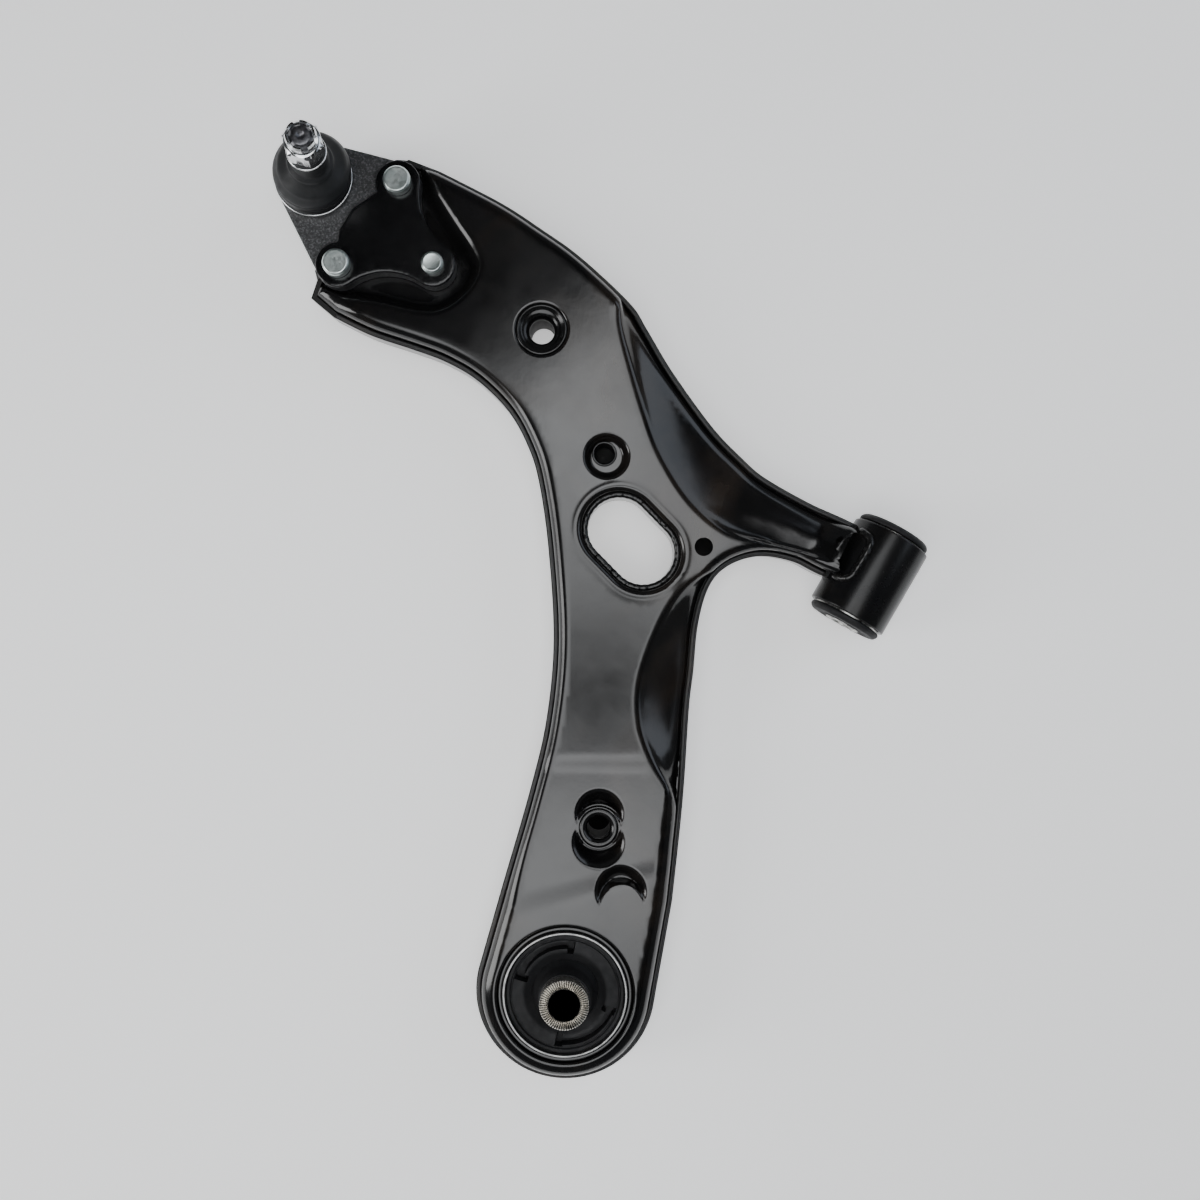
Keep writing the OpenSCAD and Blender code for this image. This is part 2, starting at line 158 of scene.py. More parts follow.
FRONT = Vector((33, 285.5, -4))
TUBE_R = 22.5
TUBE_L = 51.0
FRONT_SHELL_R = 19.0
FRONT_SHELL_IN = 17.4
# The front leg lies beyond LEG_Y. It ends at LEG_END_X, where its top comes down
# on the tube, and from LEG_FIT_X on it is fitted to the tube's round side.
LEG_Y = 255
LEG_END_X = 33 - math.sqrt(TUBE_R ** 2 - 19.0 ** 2)
LEG_FIT_X = 6.0
NUT_AF = 19.0
HEX_AF = 17.0


# ------------------------------------------------------------- plane geometry
def smooth(points, steps=8):
    """A smooth curve through every point of an open list."""
    p = np.array(points, float)
    out = []
    last = len(p) - 1
    for i in range(last):
        a, b, c, d = p[max(i - 1, 0)], p[i], p[i + 1], p[min(i + 2, last)]
        for s in range(steps):
            t = s / steps
            out.append(
                0.5 * (2 * b + (c - a) * t + (2 * a - 5 * b + 4 * c - d) * t * t
                       + (3 * b - a - 3 * c + d) * t ** 3)
            )
    out.append(p[last])
    return np.array(out)


def arc(centre, r, start, end, count):
    """Points on an arc, angles in degrees."""
    g = np.radians(np.linspace(start, end, count))
    return np.c_[centre[0] + r * np.cos(g), centre[1] + r * np.sin(g)]


def circle(centre, r, count):
    return arc(centre, r, 0, 360, count + 1)[:-1]


def shifted(p, d):
    """A closed outline moved by d to the left of its direction."""
    u = p - np.roll(p, 1, 0)
    w = np.roll(p, -1, 0) - p
    u = u / np.linalg.norm(u, axis=1)[:, None]
    w = w / np.linalg.norm(w, axis=1)[:, None]
    nu = np.c_[-u[:, 1], u[:, 0]]
    nw = np.c_[-w[:, 1], w[:, 0]]
    m = nu + nw
    m = m / np.linalg.norm(m, axis=1)[:, None]
    return p + m * (d / np.maximum((m * nu).sum(1), 0.55))[:, None]


def stadium(a, b, r, count=36, along=14):
    """A long hole with round ends at a and b, anticlockwise."""
    g = math.degrees(math.atan2(*(b - a)[::-1]))
    ends = arc(b, r, g - 90, g + 90, count), arc(a, r, g + 90, g + 270, count)
    t = np.linspace(0, 1, along + 1)[1:-1, None]
    sides = [one[-1] + (two[0] - one[-1]) * t for one, two in (ends, ends[::-1])]
    return np.vstack([ends[0], sides[0], ends[1], sides[1]])


def to_curve(xy, curve, closed=False):
    """Distance to a curve, positive on its left."""
    a = curve if closed else curve[:-1]
    b = np.roll(curve, -1, 0) if closed else curve[1:]
    ab = b - a
    length2 = (ab ** 2).sum(1)
    out = np.empty(len(xy))
    for k in range(0, len(xy), 4000):
        p = xy[k:k + 4000, None, :]
        t = np.clip(((p - a) * ab).sum(2) / length2, 0, 1)
        gap = p - (a + t[..., None] * ab)
        d2 = (gap ** 2).sum(2)
        i = d2.argmin(1)
        rows = np.arange(len(i))
        g = gap[rows, i]
        side = np.sign(ab[i, 0] * g[:, 1] - ab[i, 1] * g[:, 0])
        out[k:k + 4000] = np.sqrt(d2[rows, i]) * np.where(side == 0, 1, side)
    return out


def to_segment(xy, a, b):
    ab = b - a
    t = np.clip(((xy - a) @ ab) / (ab @ ab), 0, 1)
    return np.linalg.norm(xy - a - t[:, None] * ab, axis=1)


def inside(xy, loop):
    """Even-odd test of many points against one closed loop."""
    hit = np.zeros(len(xy), bool)
    x, y = xy[:, 0], xy[:, 1]
    for (x0, y0), (x1, y1) in zip(loop, np.roll(loop, -1, 0)):
        if y0 == y1:
            continue
        cross = (y0 > y) != (y1 > y)
        hit ^= cross & (x < x0 + (y - y0) * (x1 - x0) / (y1 - y0))
    return hit


def ease(t):
    t = np.clip(t, 0, 1)
    return t * t * (3 - 2 * t)


def edge_drop(d, r):
    """How far a rounded edge of radius r falls at distance d inside it."""
    k = np.clip(r - d, 0, r)
    return r - np.sqrt(np.maximum(r * r - k * k, 0))


def bar_loop(a, ra, b, rb, count=24):
    """Outline of a bar between two round ends, anticlockwise."""
    d = b - a
    g = math.degrees(math.atan2(d[1], d[0]))
    k = math.degrees(math.acos((ra - rb) / np.linalg.norm(d)))
    return np.vstack([arc(a, ra, g + k, g + 360 - k, count), arc(b, rb, g - k, g + k, count)])


def concave(a, ra, b, rb, r):
    """Points of a concave arc of radius r that blends two circles on its left."""
    a, b = np.array(a, float), np.array(b, float)
    d = np.linalg.norm(b - a)
    u = (b - a) / d
    la, lb = ra + r, rb + r
    x = (d * d + la * la - lb * lb) / (2 * d)
    y = math.sqrt(max(la * la - x * x, 0))
    c = a + u * x + np.array([u[1], -u[0]]) * y
    s = math.degrees(math.atan2(*(a - c)[::-1]))
    e = math.degrees(math.atan2(*(b - c)[::-1]))
    while e - s > 180:
        e -= 360
    while e - s < -180:
        e += 360
    return arc(c, r, s, e, 20)


OUTLINE = np.vstack([
    [UPPER_FINGER], smooth(OUTBOARD_EDGE), smooth(INBOARD_EDGE),
    arc((0, 0), REAR_END_R, 21, -163, 60), smooth(BACK_EDGE), [LOWER_FINGER],
    smooth(FINGER_END),
])
UPPER_OUTLINE = shifted(OUTLINE, -SKIRT_INSET)
SEAT_CURVE = smooth(SEAT_EDGE)
FLANK_OUT_CURVE = smooth(FLANK_OUT)
FLANK_IN_CURVE = smooth(FLANK_IN)


# -------------------------------------------------------------- mesh helpers
def new_object(name, data):
    obj = bpy.data.objects.new(name, data)
    bpy.context.scene.collection.objects.link(obj)
    return obj


@contextmanager
def edited(mesh, load=True):
    """Opens a mesh for editing, and writes it back."""
    bm = bmesh.new()
    if load:
        bm.from_mesh(mesh)
    yield bm
    bm.to_mesh(mesh)
    bm.free()


def ring_faces(columns, rows):
    """Faces between columns of points that run round an axis, each a closed profile."""
    faces = []
    for i in range(columns):
        j = (i + 1) % columns
        for k in range(rows):
            m = (k + 1) % rows
            faces.append((i * rows + k, j * rows + k, j * rows + m, i * rows + m))
    return faces


def hex_flat(width, a):
    """Distance from the axis to the side of a hexagon in the direction a."""
    return width / 2 / math.cos((a + math.radians(30)) % math.radians(60) - math.radians(30))


def finish_mesh(name, verts, faces, body, material, sharp=35):
    """Makes an object of a mesh given in millimetres and puts it on a body."""
    mesh = bpy.data.meshes.new(name)
    mesh.from_pydata([tuple(c * MM for c in v) for v in verts], [], [tuple(f) for f in faces])
    obj = new_object(name, mesh)
    dress(obj, body, material, sharp)
    return obj


def dress(obj, body, material, sharp=35):
    """Gives a piece its normals and material, and puts it on a body if there is one."""
    mesh = obj.data
    mesh.validate()
    with edited(mesh) as bm:
        bmesh.ops.recalc_face_normals(bm, faces=bm.faces)
    mesh.polygons.foreach_set("use_smooth", [True] * len(mesh.polygons))
    mesh.set_sharp_from_angle(angle=math.radians(sharp))
    mesh.materials.clear()
    mesh.materials.append(material)
    if body:
        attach(obj, body)


def bake_modifiers(obj):
    """Replaces an object's mesh by what its modifiers make of it."""
    graph = bpy.context.evaluated_depsgraph_get()
    graph.update()
    mesh = bpy.data.meshes.new_from_object(obj.evaluated_get(graph))
    obj.modifiers.clear()
    old = obj.data
    obj.data = mesh
    bpy.data.meshes.remove(old)


def soften(profile, radii, steps=4):
    """Rounds the corners of a closed profile, by one radius or one for each."""
    p = [np.array(q, float) for q in profile]
    n = len(p)
    if not hasattr(radii, "__len__"):
        radii = [radii] * n
    out = []
    for i in range(n):
        a, b, c = p[i - 1], p[i], p[(i + 1) % n]
        u, w = a - b, c - b
        lu, lw = np.linalg.norm(u), np.linalg.norm(w)
        cut = min(radii[i], lu * 0.48, lw * 0.48)
        if cut < 1e-6:
            out.append(b)
            continue
        s, e = b + u / lu * cut, b + w / lw * cut
        for k in range(steps + 1):
            t = k / steps
            out.append((1 - t) ** 2 * s + 2 * t * (1 - t) * b + t * t * e)
    return np.array(out)


def revolve(name, profile, body, material, place=None, segments=96, warp=None, sharp=35):
    """A closed profile of (radius, height) turned round Z, then placed.

    warp(r, z, angle) may change the radius and height of every point.
    """
    prof = np.array(profile, float)
    g = np.linspace(0, 2 * math.pi, segments, endpoint=False)
    r = np.repeat(prof[None, :, 0], segments, 0)
    z = np.repeat(prof[None, :, 1], segments, 0)
    a = np.repeat(g[:, None], len(prof), 1)
    if warp:
        r, z = warp(r, z, a)
    verts = np.c_[(r * np.cos(a)).ravel(), (r * np.sin(a)).ravel(), z.ravel()]
    if place is not None:
        verts = np.array([place @ Vector(v) for v in verts])
    obj = finish_mesh(name, verts, ring_faces(segments, len(prof)), body, material, sharp)
    with edited(obj.data) as bm:
        bmesh.ops.remove_doubles(bm, verts=bm.verts, dist=1e-7)
        bmesh.ops.dissolve_degenerate(bm, dist=1e-8, edges=bm.edges)
    obj.data.set_sharp_from_angle(angle=math.radians(sharp))
    return obj


def at(place, z=0):
    """Puts what is made on the origin upright at a place of the plane."""
    return Matrix.Translation((place[0], place[1], z))


ON_STUD = Matrix.Translation(BALL) @ Matrix.Rotation(LEAN_DIR, 4, "Z") @ Matrix.Rotation(LEAN, 4, "Y")
ON_FRONT = Matrix.Translation(FRONT) @ Matrix.Rotation(math.radians(-90), 4, "X")


def swept(name, path, radius, body, material, ripple=0.0, pitch=2.4, closed=False,
          sides=10, flat=1.0, up=(0, 0, 1)):
    """A round bead along a path of 3-D points, rippled like a weld."""
    pts = [Vector(p) for p in path]
    n = len(pts)
    run = [0.0]
    for i in range(1, n):
        run.append(run[-1] + (pts[i] - pts[i - 1]).length)
    verts, faces = [], []
    up = Vector(up)
    for i, p in enumerate(pts):
        a = pts[i - 1] if i or closed else pts[0]
        b = pts[(i + 1) % n] if i < n - 1 or closed else pts[-1]
        t = (b - a).normalized()
        side = t.cross(up).normalized()
        top = side.cross(t).normalized()
        swell = radius * (1 + ripple * math.cos(2 * math.pi * run[i] / pitch))
        if not closed and i in (0, n - 1):
            swell *= 0.35
        for k in range(sides):
            g = 2 * math.pi * k / sides
            verts.append(p + side * (math.cos(g) * swell) + top * (math.sin(g) * swell * flat))
    last = n if closed else n - 1
    for i in range(last):
        j = (i + 1) % n
        for k in range(sides):
            m = (k + 1) % sides
            faces.append((i * sides + k, i * sides + m, j * sides + m, j * sides + k))
    if not closed:
        faces.append(tuple(range(sides)))
        faces.append(tuple((n - 1) * sides + k for k in range(sides)))
    return finish_mesh(name, verts, faces, body, material, 60)


def even(path, step):
    """Points at an even step along a path of any dimension."""
    p = np.array(path, float)
    run = np.r_[0, np.cumsum(np.linalg.norm(np.diff(p, axis=0), axis=1))]
    s = np.linspace(0, run[-1], max(int(run[-1] / step), 2))
    return np.c_[tuple(np.interp(s, run, p[:, k]) for k in range(p.shape[1]))]


def fit_tube(v):
    """Draws the leg's end back so that it follows the front tube's round side."""
    above = v[2] - FRONT.z
    if v[1] < LEG_Y or v[0] < LEG_FIT_X or abs(above) > TUBE_R:
        return v
    side = FRONT.x - math.sqrt(TUBE_R ** 2 - above ** 2) + 0.3
    x = LEG_FIT_X + (v[0] - LEG_FIT_X) * (side - LEG_FIT_X) / (LEG_END_X - LEG_FIT_X)
    return (x, v[1], v[2])


def pressed(name, outline, holes, height, rings, wall_to, sign, body, material, thickness):
    """A pressed sheet: a height field over an outline, with its walls.

    outline runs clockwise. holes are (loop, wall_to), and a wall goes down from the
    hole's edge to that height. rings are (points, closed) lines which the surface's
    edges follow. sign is 1 for an upper pressing and -1 for a lower one, and every
    height is counted from the seam plane towards the pressing's face.
    """
    loops = [outline] + [h[0] for h in holes]
    chosen = [tuple(p) for p in np.vstack(loops)]
    edges = []
    base = 0
    for loop in loops:
        n = len(loop)
        edges += [(base + k, base + (k + 1) % n) for k in range(n)]
        base += n

    def clear(points, gap):
        good = to_curve(points, outline, True) < -gap
        for loop, _ in holes:
            good &= ~inside(points, loop) & (np.abs(to_curve(points, loop, True)) > gap)
        return good

    for ring, closed in rings:
        good = clear(ring, 0.15)
        index = {}
        for k in np.flatnonzero(good):
            index[k] = len(chosen)
            chosen.append(tuple(ring[k]))
        for k in index:
            m = (k + 1) % len(ring)
            if m in index and (m or closed):
                edges.append((index[k], index[m]))
    lo, hi = outline.min(0), outline.max(0)
    grid = [(x, y) for j, y in enumerate(np.arange(lo[1], hi[1], GRID_STEP * 0.866))
            for x in np.arange(lo[0] + (j % 2) * GRID_STEP / 2, hi[0], GRID_STEP)]
    grid = np.array(grid)
    cells = {}
    for p in chosen:
        cells.setdefault((int(p[0] // 1.5), int(p[1] // 1.5)), []).append(p)
    for p in grid[clear(grid, 1.2)]:
        cx, cy = int(p[0] // 1.5), int(p[1] // 1.5)
        near = any(
            (q[0] - p[0]) ** 2 + (q[1] - p[1]) ** 2 < 1.7
            for dx in (-1, 0, 1) for dy in (-1, 0, 1) for q in cells.get((cx + dx, cy + dy), ())
        )
        if not near:
            chosen.append(tuple(p))
    out, _, tris, origin, _, _ = delaunay_2d_cdt([Vector(p) for p in chosen], edges, [], 0, 1e-5)
    xy = np.array([(v.x, v.y) for v in out])
    mid = xy[np.array(tris)].mean(1)
    ok = inside(mid, outline)
    for loop, _ in holes:
        ok &= ~inside(mid, loop)
    z = height(xy)
    verts = [(p[0], p[1], sign * h) for p, h in zip(xy, z)]
    faces = [tuple(t) if sign > 0 else tuple(reversed(t)) for t, good in zip(tris, ok) if good]
    where = {}
    for k, olds in enumerate(origin):
        for old in olds:
            where[old] = k
    base = 0
    walls = [wall_to] + [h[1] for h in holes]
    for loop, down in zip(loops, walls):
        ids = [where[base + k] for k in range(len(loop))]
        base += len(loop)
        previous = ids
        for row in range(1, WALL_ROWS + 1):
            new = []
            for k in ids:
                x, y, zz = verts[k]
                top = sign * zz
                new.append(len(verts))
                verts.append((x, y, sign * (top + (down - top) * row / WALL_ROWS)))
            for k in range(len(ids)):
                m = (k + 1) % len(ids)
                if ids[k] != ids[m]:
                    faces.append((previous[k], previous[m], new[m], new[k]))
            previous = new
    mesh = bpy.data.meshes.new(name)
    mesh.from_pydata([tuple(c * MM for c in fit_tube(v)) for v in verts], [], faces)
    with edited(mesh) as bm:
        bmesh.ops.remove_doubles(bm, verts=bm.verts, dist=2e-6)
        bmesh.ops.dissolve_degenerate(bm, dist=1e-7, edges=bm.edges)
        bmesh.ops.delete(bm, geom=[v for v in bm.verts if not v.link_faces], context="VERTS")
        bmesh.ops.recalc_face_normals(bm, faces=bm.faces)
        up = max(bm.faces, key=lambda f: sign * f.calc_center_median().z)
        if up.normal.z * sign < 0:
            bmesh.ops.reverse_faces(bm, faces=bm.faces)
    obj = new_object(name, mesh)
    solid = obj.modifiers.new("thickness", "SOLIDIFY")
    solid.thickness = thickness * MM
    solid.offset = -1
    bake_modifiers(obj)
    dress(obj, body, material, 50)
    return obj


# ----------------------------------------------------------------- materials
class Nodes:
    """A small helper to build a material's nodes."""

    def __init__(self, name):
        self.mat = bpy.data.materials.new(name)
        self.mat.use_nodes = True
        self.tree = self.mat.node_tree
        self.tree.nodes.clear()
        self.out = self.add("ShaderNodeOutputMaterial")
        self.bsdf = self.add("ShaderNodeBsdfPrincipled")
        self.link(self.bsdf, "BSDF", self.out, "Surface")
        self.coord = self.add("ShaderNodeTexCoord")

    def add(self, kind, **settings):
        node = self.tree.nodes.new(kind)
        for key, value in settings.items():
            setattr(node, key, value)
        return node

    def link(self, a, output, b, to):
        self.tree.links.new(a.outputs[output], b.inputs[to])

    def noise(self, scale, detail=3, rough=0.5, distortion=0.0):
        n = self.add("ShaderNodeTexNoise")
        n.inputs["Scale"].default_value = scale
        n.inputs["Detail"].default_value = detail
        n.inputs["Roughness"].default_value = rough
        n.inputs["Distortion"].default_value = distortion
        self.link(self.coord, "Object", n, "Vector")
        return n

    def cells(self, scale, feature="F1"):
        v = self.add("ShaderNodeTexVoronoi", feature=feature)
        v.inputs["Scale"].default_value = scale
        self.link(self.coord, "Object", v, "Vector")
        return v

    def ramp(self, source, output, stops):
        r = self.add("ShaderNodeValToRGB")
        el = r.color_ramp.elements
        while len(el) < len(stops):
            el.new(0.5)
        for e, (pos, col) in zip(el, stops):
            e.position = pos
            e.color = (*col, 1) if hasattr(col, "__len__") else (col, col, col, 1)
        self.link(source, output, r, "Fac")
        return r

    def mix(self, fac, a, b):
        m = self.add("ShaderNodeMix", data_type="RGBA")
        self.tree.links.new(fac, m.inputs["Factor"])
        for value, key in ((a, "A"), (b, "B")):
            socket = [s for s in m.inputs if s.name == key and s.type == "RGBA"][0]
            if hasattr(value, "is_linked"):
                self.tree.links.new(value, socket)
            else:
                socket.default_value = (*value, 1)
        return [s for s in m.outputs if s.type == "RGBA"][0]

    def math(self, op, a, b):
        m = self.add("ShaderNodeMath", operation=op)
        for k, value in enumerate((a, b)):
            if hasattr(value, "is_linked"):
                self.tree.links.new(value, m.inputs[k])
            else:
                m.inputs[k].default_value = value
        return m.outputs[0]

    def to(self, socket, key):
        self.tree.links.new(socket, self.bsdf.inputs[key])

    def set(self, key, value):
        self.bsdf.inputs[key].default_value = value

    def fade(self, socket, low, high):
        """0 where a value is under low and 1 where it is over high."""
        ramp = self.add("ShaderNodeMapRange", interpolation_type="SMOOTHSTEP")
        self.tree.links.new(socket, ramp.inputs["Value"])
        ramp.inputs["From Min"].default_value = low
        ramp.inputs["From Max"].default_value = high
        return ramp

    def against(self, operation, vector):
        """The part's place measured against a fixed vector."""
        node = self.add("ShaderNodeVectorMath", operation=operation)
        self.link(self.coord, "Object", node, 0)
        node.inputs[1].default_value = vector
        return node.outputs["Value"]

    def bump(self, socket, strength, distance, normal=None):
        b = self.add("ShaderNodeBump")
        b.inputs["Strength"].default_value = strength
        b.inputs["Distance"].default_value = distance
        self.tree.links.new(socket, b.inputs["Height"])
        if normal:
            self.tree.links.new(normal, b.inputs["Normal"])
        return b.outputs["Normal"]


def black_paint(name="black_paint", dull=0.0, dull_inside=0.0, shine=0.62):
    """Gloss black dip paint: faint orange peel, dust specks, cloudy sheen.

    dull_inside makes the faces that look up duller, for the floor of the box.
    """
    n = Nodes(name)
    cloud = n.noise(14, 4, 0.55, 0.6)
    tone = n.ramp(cloud, "Fac", [(0.35, (0.0045, 0.0046, 0.0052)), (0.7, (0.0085, 0.0080, 0.0078))])
    specks = n.cells(260)
    dust = n.ramp(specks, "Distance", [(0.0, 1.0), (0.045, 0.0)])
    rare = n.noise(60, 2)
    rare_mask = n.ramp(rare, "Fac", [(0.56, 0.0), (0.66, 1.0)])
    speck = n.math("MULTIPLY", dust.outputs["Color"], rare_mask.outputs["Color"])
    stain = n.ramp(n.noise(11, 5, 0.62, 0.9), "Fac", [(0.5, 0.0), (0.72, 1.0)])
    brown = n.mix(stain.outputs["Color"], tone.outputs["Color"], (0.026, 0.0195, 0.015))
    n.to(n.mix(speck, brown, (0.12, 0.115, 0.11)), "Base Color")
    blotch = n.noise(38, 5, 0.6, 0.3)
    rough = n.ramp(blotch, "Fac", [(0.3, 0.13 + dull), (0.72, 0.2 + dull)])
    total = n.math("ADD", rough.outputs["Color"], n.math("MULTIPLY", speck, 0.4))
    if dull_inside:
        geometry = n.add("ShaderNodeNewGeometry")
        split = n.add("ShaderNodeSeparateXYZ")
        n.link(geometry, "Normal", split, "Vector")
        upward = n.math("MAXIMUM", split.outputs["Z"], 0.0)
        total = n.math("ADD", total, n.math("MULTIPLY", upward, dull_inside))
    n.to(total, "Roughness")
    n.set("Specular IOR Level", shine)
    peel = n.noise(420, 2, 0.45)
    wave = n.noise(45, 2, 0.4)
    first = n.bump(wave.outputs["Fac"], 0.12, 0.0008)
    second = n.bump(peel.outputs["Fac"], 0.06, 0.0002, first)
    n.to(n.bump(speck, 0.5, 0.00012, second), "Normal")
    return n.mat


def by_height(n, low, high):
    """0 below one height of the part and 1 above another, in mm."""
    split = n.add("ShaderNodeSeparateXYZ")
    n.link(n.coord, "Object", split, "Vector")
    return n.fade(split.outputs["Z"], low * MM, high * MM).outputs["Result"]


def collar_paint():
    """The arm's paint, thin and dull down in a hole."""
    n = Nodes("collar_paint")
    up = by_height(n, 5, 10)
    tone = n.ramp(n.noise(60, 4), "Fac", [(0.3, (0.004, 0.004, 0.0045)), (0.7, (0.008, 0.0078, 0.0075))])
    n.to(tone.outputs["Color"], "Base Color")
    wear_and_groove_shade = n.ramp(n.noise(200, 3), "Fac", [(0.3, 0.14), (0.7, 0.22)]).outputs["Color"]
    n.to(n.math("SUBTRACT", n.math("ADD", wear_and_groove_shade, 0.45), n.math("MULTIPLY", up, 0.45)), "Roughness")
    n.to(n.bump(n.noise(400, 2).outputs["Fac"], 0.08, 0.0002), "Normal")
    return n.mat


def weld_paint():
    """The same black paint over a rippled weld bead."""
    n = Nodes("painted_weld")
    cloud = n.noise(90, 3)
    tone = n.ramp(cloud, "Fac", [(0.35, (0.004, 0.004, 0.0045)), (0.7, (0.010, 0.0095, 0.009))])
    n.to(tone.outputs["Color"], "Base Color")
    rough = n.ramp(n.noise(300, 3), "Fac", [(0.3, 0.16), (0.75, 0.34)])
    n.to(rough.outputs["Color"], "Roughness")
    n.to(n.bump(n.noise(700, 3).outputs["Fac"], 0.35, 0.0003), "Normal")
    return n.mat


def forged_black():
    """Rough grainy forged web; gloss black on the pad and the socket's neck."""
    n = Nodes("forged_black")
    up = by_height(n, WEB_Z + 1.4, WEB_Z + 2.4)
    grain = n.noise(900, 4, 0.65)
    tone = n.ramp(grain, "Fac", [(0.3, (0.012, 0.012, 0.013)), (0.52, (0.04, 0.04, 0.042)),
                                 (0.72, (0.16, 0.16, 0.165))])
    smooth_tone = n.ramp(n.noise(160, 4), "Fac", [(0.3, (0.0045, 0.0045, 0.005)),
                                                  (0.75, (0.0075, 0.0075, 0.008))])
    n.to(n.mix(up, tone.outputs["Color"], smooth_tone.outputs["Color"]), "Base Color")
    rough = n.ramp(n.noise(240, 3), "Fac", [(0.3, 0.44), (0.7, 0.5)]).outputs["Color"]
    n.to(n.math("SUBTRACT", rough, n.math("MULTIPLY", up, 0.3)), "Roughness")
    pits = n.noise(520, 5, 0.7)
    relief = n.math("MULTIPLY", pits.outputs["Fac"], n.math("SUBTRACT", 1.0, n.math("MULTIPLY", up, 0.85)))
    n.to(n.bump(relief, 0.8, 0.0007), "Normal")
    return n.mat


def plated(name, low, high, rough_low, rough_high, scale, relief=0.05):
    """Bright zinc or machined steel with fine brushing and dull patches."""
    n = Nodes(name)
    n.set("Metallic", 1.0)
    cloud = n.noise(scale, 4, 0.6)
    tone = n.ramp(cloud, "Fac", [(0.3, low), (0.7, high)])
    n.to(tone.outputs["Color"], "Base Color")
    rough = n.ramp(n.noise(scale * 3, 4, 0.6), "Fac", [(0.3, rough_low), (0.75, rough_high)])
    n.to(rough.outputs["Color"], "Roughness")
    n.to(n.bump(n.noise(scale * 5, 3, 0.6).outputs["Fac"], relief, 0.0001), "Normal")
    return n.mat


def serrated_steel():
    """Bright end face of a sleeve, with painted shade darkening the grooves between its radial teeth and the
    bore.
    """
    n = Nodes("serrated_steel")
    n.set("Metallic", 1.0)
    split = n.add("ShaderNodeSeparateXYZ")
    n.link(n.coord, "Object", split, "Vector")
    turn = n.math("ARCTAN2", split.outputs["Y"], split.outputs["X"])
    wave = n.add("ShaderNodeMath", operation="COSINE")
    n.tree.links.new(n.math("MULTIPLY", turn, float(SLEEVE_TEETH)), wave.inputs[0])
    away = n.math("ABSOLUTE", n.math("SUBTRACT", split.outputs["Z"], 0.002), 0.0)
    face = n.math("GREATER_THAN", away, 0.0283)
    # Painted shade: the grooves between the teeth on the end faces are darkened to near black.
    groove_shade = n.ramp(wave, "Value", [(0.35, 0.0), (0.8, 1.0)]).outputs["Color"]
    bright = n.ramp(n.noise(500, 3), "Fac", [(0.3, (0.62, 0.59, 0.54)), (0.7, (0.86, 0.83, 0.77))])
    wear_and_groove_shade = n.mix(n.math("MULTIPLY", groove_shade, face), bright.outputs["Color"], (0.10, 0.10, 0.095))
    # Painted shade: the bore inside the sleeve is painted near black.
    bore = n.math("LESS_THAN", n.math("SQRT", n.math("ADD", n.math("POWER", split.outputs["X"], 2.0),
                                                     n.math("POWER", split.outputs["Y"], 2.0)), 0.0), 0.0088)
    n.to(n.mix(bore, wear_and_groove_shade, (0.05, 0.05, 0.05)), "Base Color")
    rough = n.ramp(n.noise(300, 3), "Fac", [(0.3, 0.22), (0.7, 0.36)])
    n.to(rough.outputs["Color"], "Roughness")
    return n.mat


def rubber(name, low, high, rough_low, rough_high):
    """Moulded rubber with a fine matt grain and a little bloom."""
    n = Nodes(name)
    bloom = n.noise(70, 5, 0.6, 0.4)
    tone = n.ramp(bloom, "Fac", [(0.3, low), (0.75, high)])
    n.to(tone.outputs["Color"], "Base Color")
    rough = n.ramp(n.noise(300, 4), "Fac", [(0.3, rough_low), (0.7, rough_high)])
    n.to(rough.outputs["Color"], "Roughness")
    n.set("Specular IOR Level", 0.3)
    n.to(n.bump(n.noise(1500, 3, 0.6).outputs["Fac"], 0.25, 0.0001), "Normal")
    return n.mat


def pale_floor():
    """Plain pale floor, with painted shadow discs where it lies under the two vertical bores."""
    n = Nodes("floor")
    outside_painted_shadows = None
    for x, y, radius in FLOOR_SHADES:
        away = n.against("DISTANCE", (x * MM, y * MM, 0))
        out = n.fade(away, radius * 0.7 * MM, radius * MM).outputs["Result"]
        outside_painted_shadows = out if outside_painted_shadows is None else n.math("MULTIPLY", outside_painted_shadows, out)
    tone = n.ramp(n.noise(3, 2), "Fac", [(0.3, (0.88, 0.88, 0.88)), (0.7, (0.9, 0.9, 0.9))])
    # Painted shadow: inside each disc the floor turns near black and its glow is cut off.
    n.to(n.mix(outside_painted_shadows, (0.01, 0.01, 0.01), tone.outputs["Color"]), "Base Color")
    n.set("Roughness", 0.95)
    n.set("Specular IOR Level", 0.1)
    n.set("Emission Color", (1, 1, 1, 1))
    n.to(n.math("MULTIPLY", outside_painted_shadows, 0.6), "Emission Strength")
    return n.mat


PAINT = black_paint()
WELD = weld_paint()
FORGED = forged_black()
COLLAR_PAINT = collar_paint()
SEAM = black_paint("seam_paint", 0.34)
LOWER_PAINT = black_paint("lower_paint", 0.0, 0.6)
ZINC = plated("zinc_plate", (0.58, 0.66, 0.64), (0.76, 0.82, 0.80), 0.28, 0.42, 180)
BRIGHT = plated("bright_nut", (0.66, 0.67, 0.68), (0.86, 0.87, 0.88), 0.12, 0.24, 300, 0.03)
STEEL = plated("machined_steel", (0.40, 0.40, 0.38), (0.62, 0.61, 0.59), 0.22, 0.42, 220, 0.1)
RING_STEEL = plated("ring_steel", (0.22, 0.22, 0.22), (0.42, 0.42, 0.41), 0.3, 0.45, 220, 0.1)
TUBE_PAINT = black_paint("tube_paint", 0.09, 0.0, 0.34)
SERRATED = serrated_steel()
DARK_STEEL = plated("thread_steel", (0.09, 0.09, 0.10), (0.22, 0.22, 0.23), 0.3, 0.5, 400)
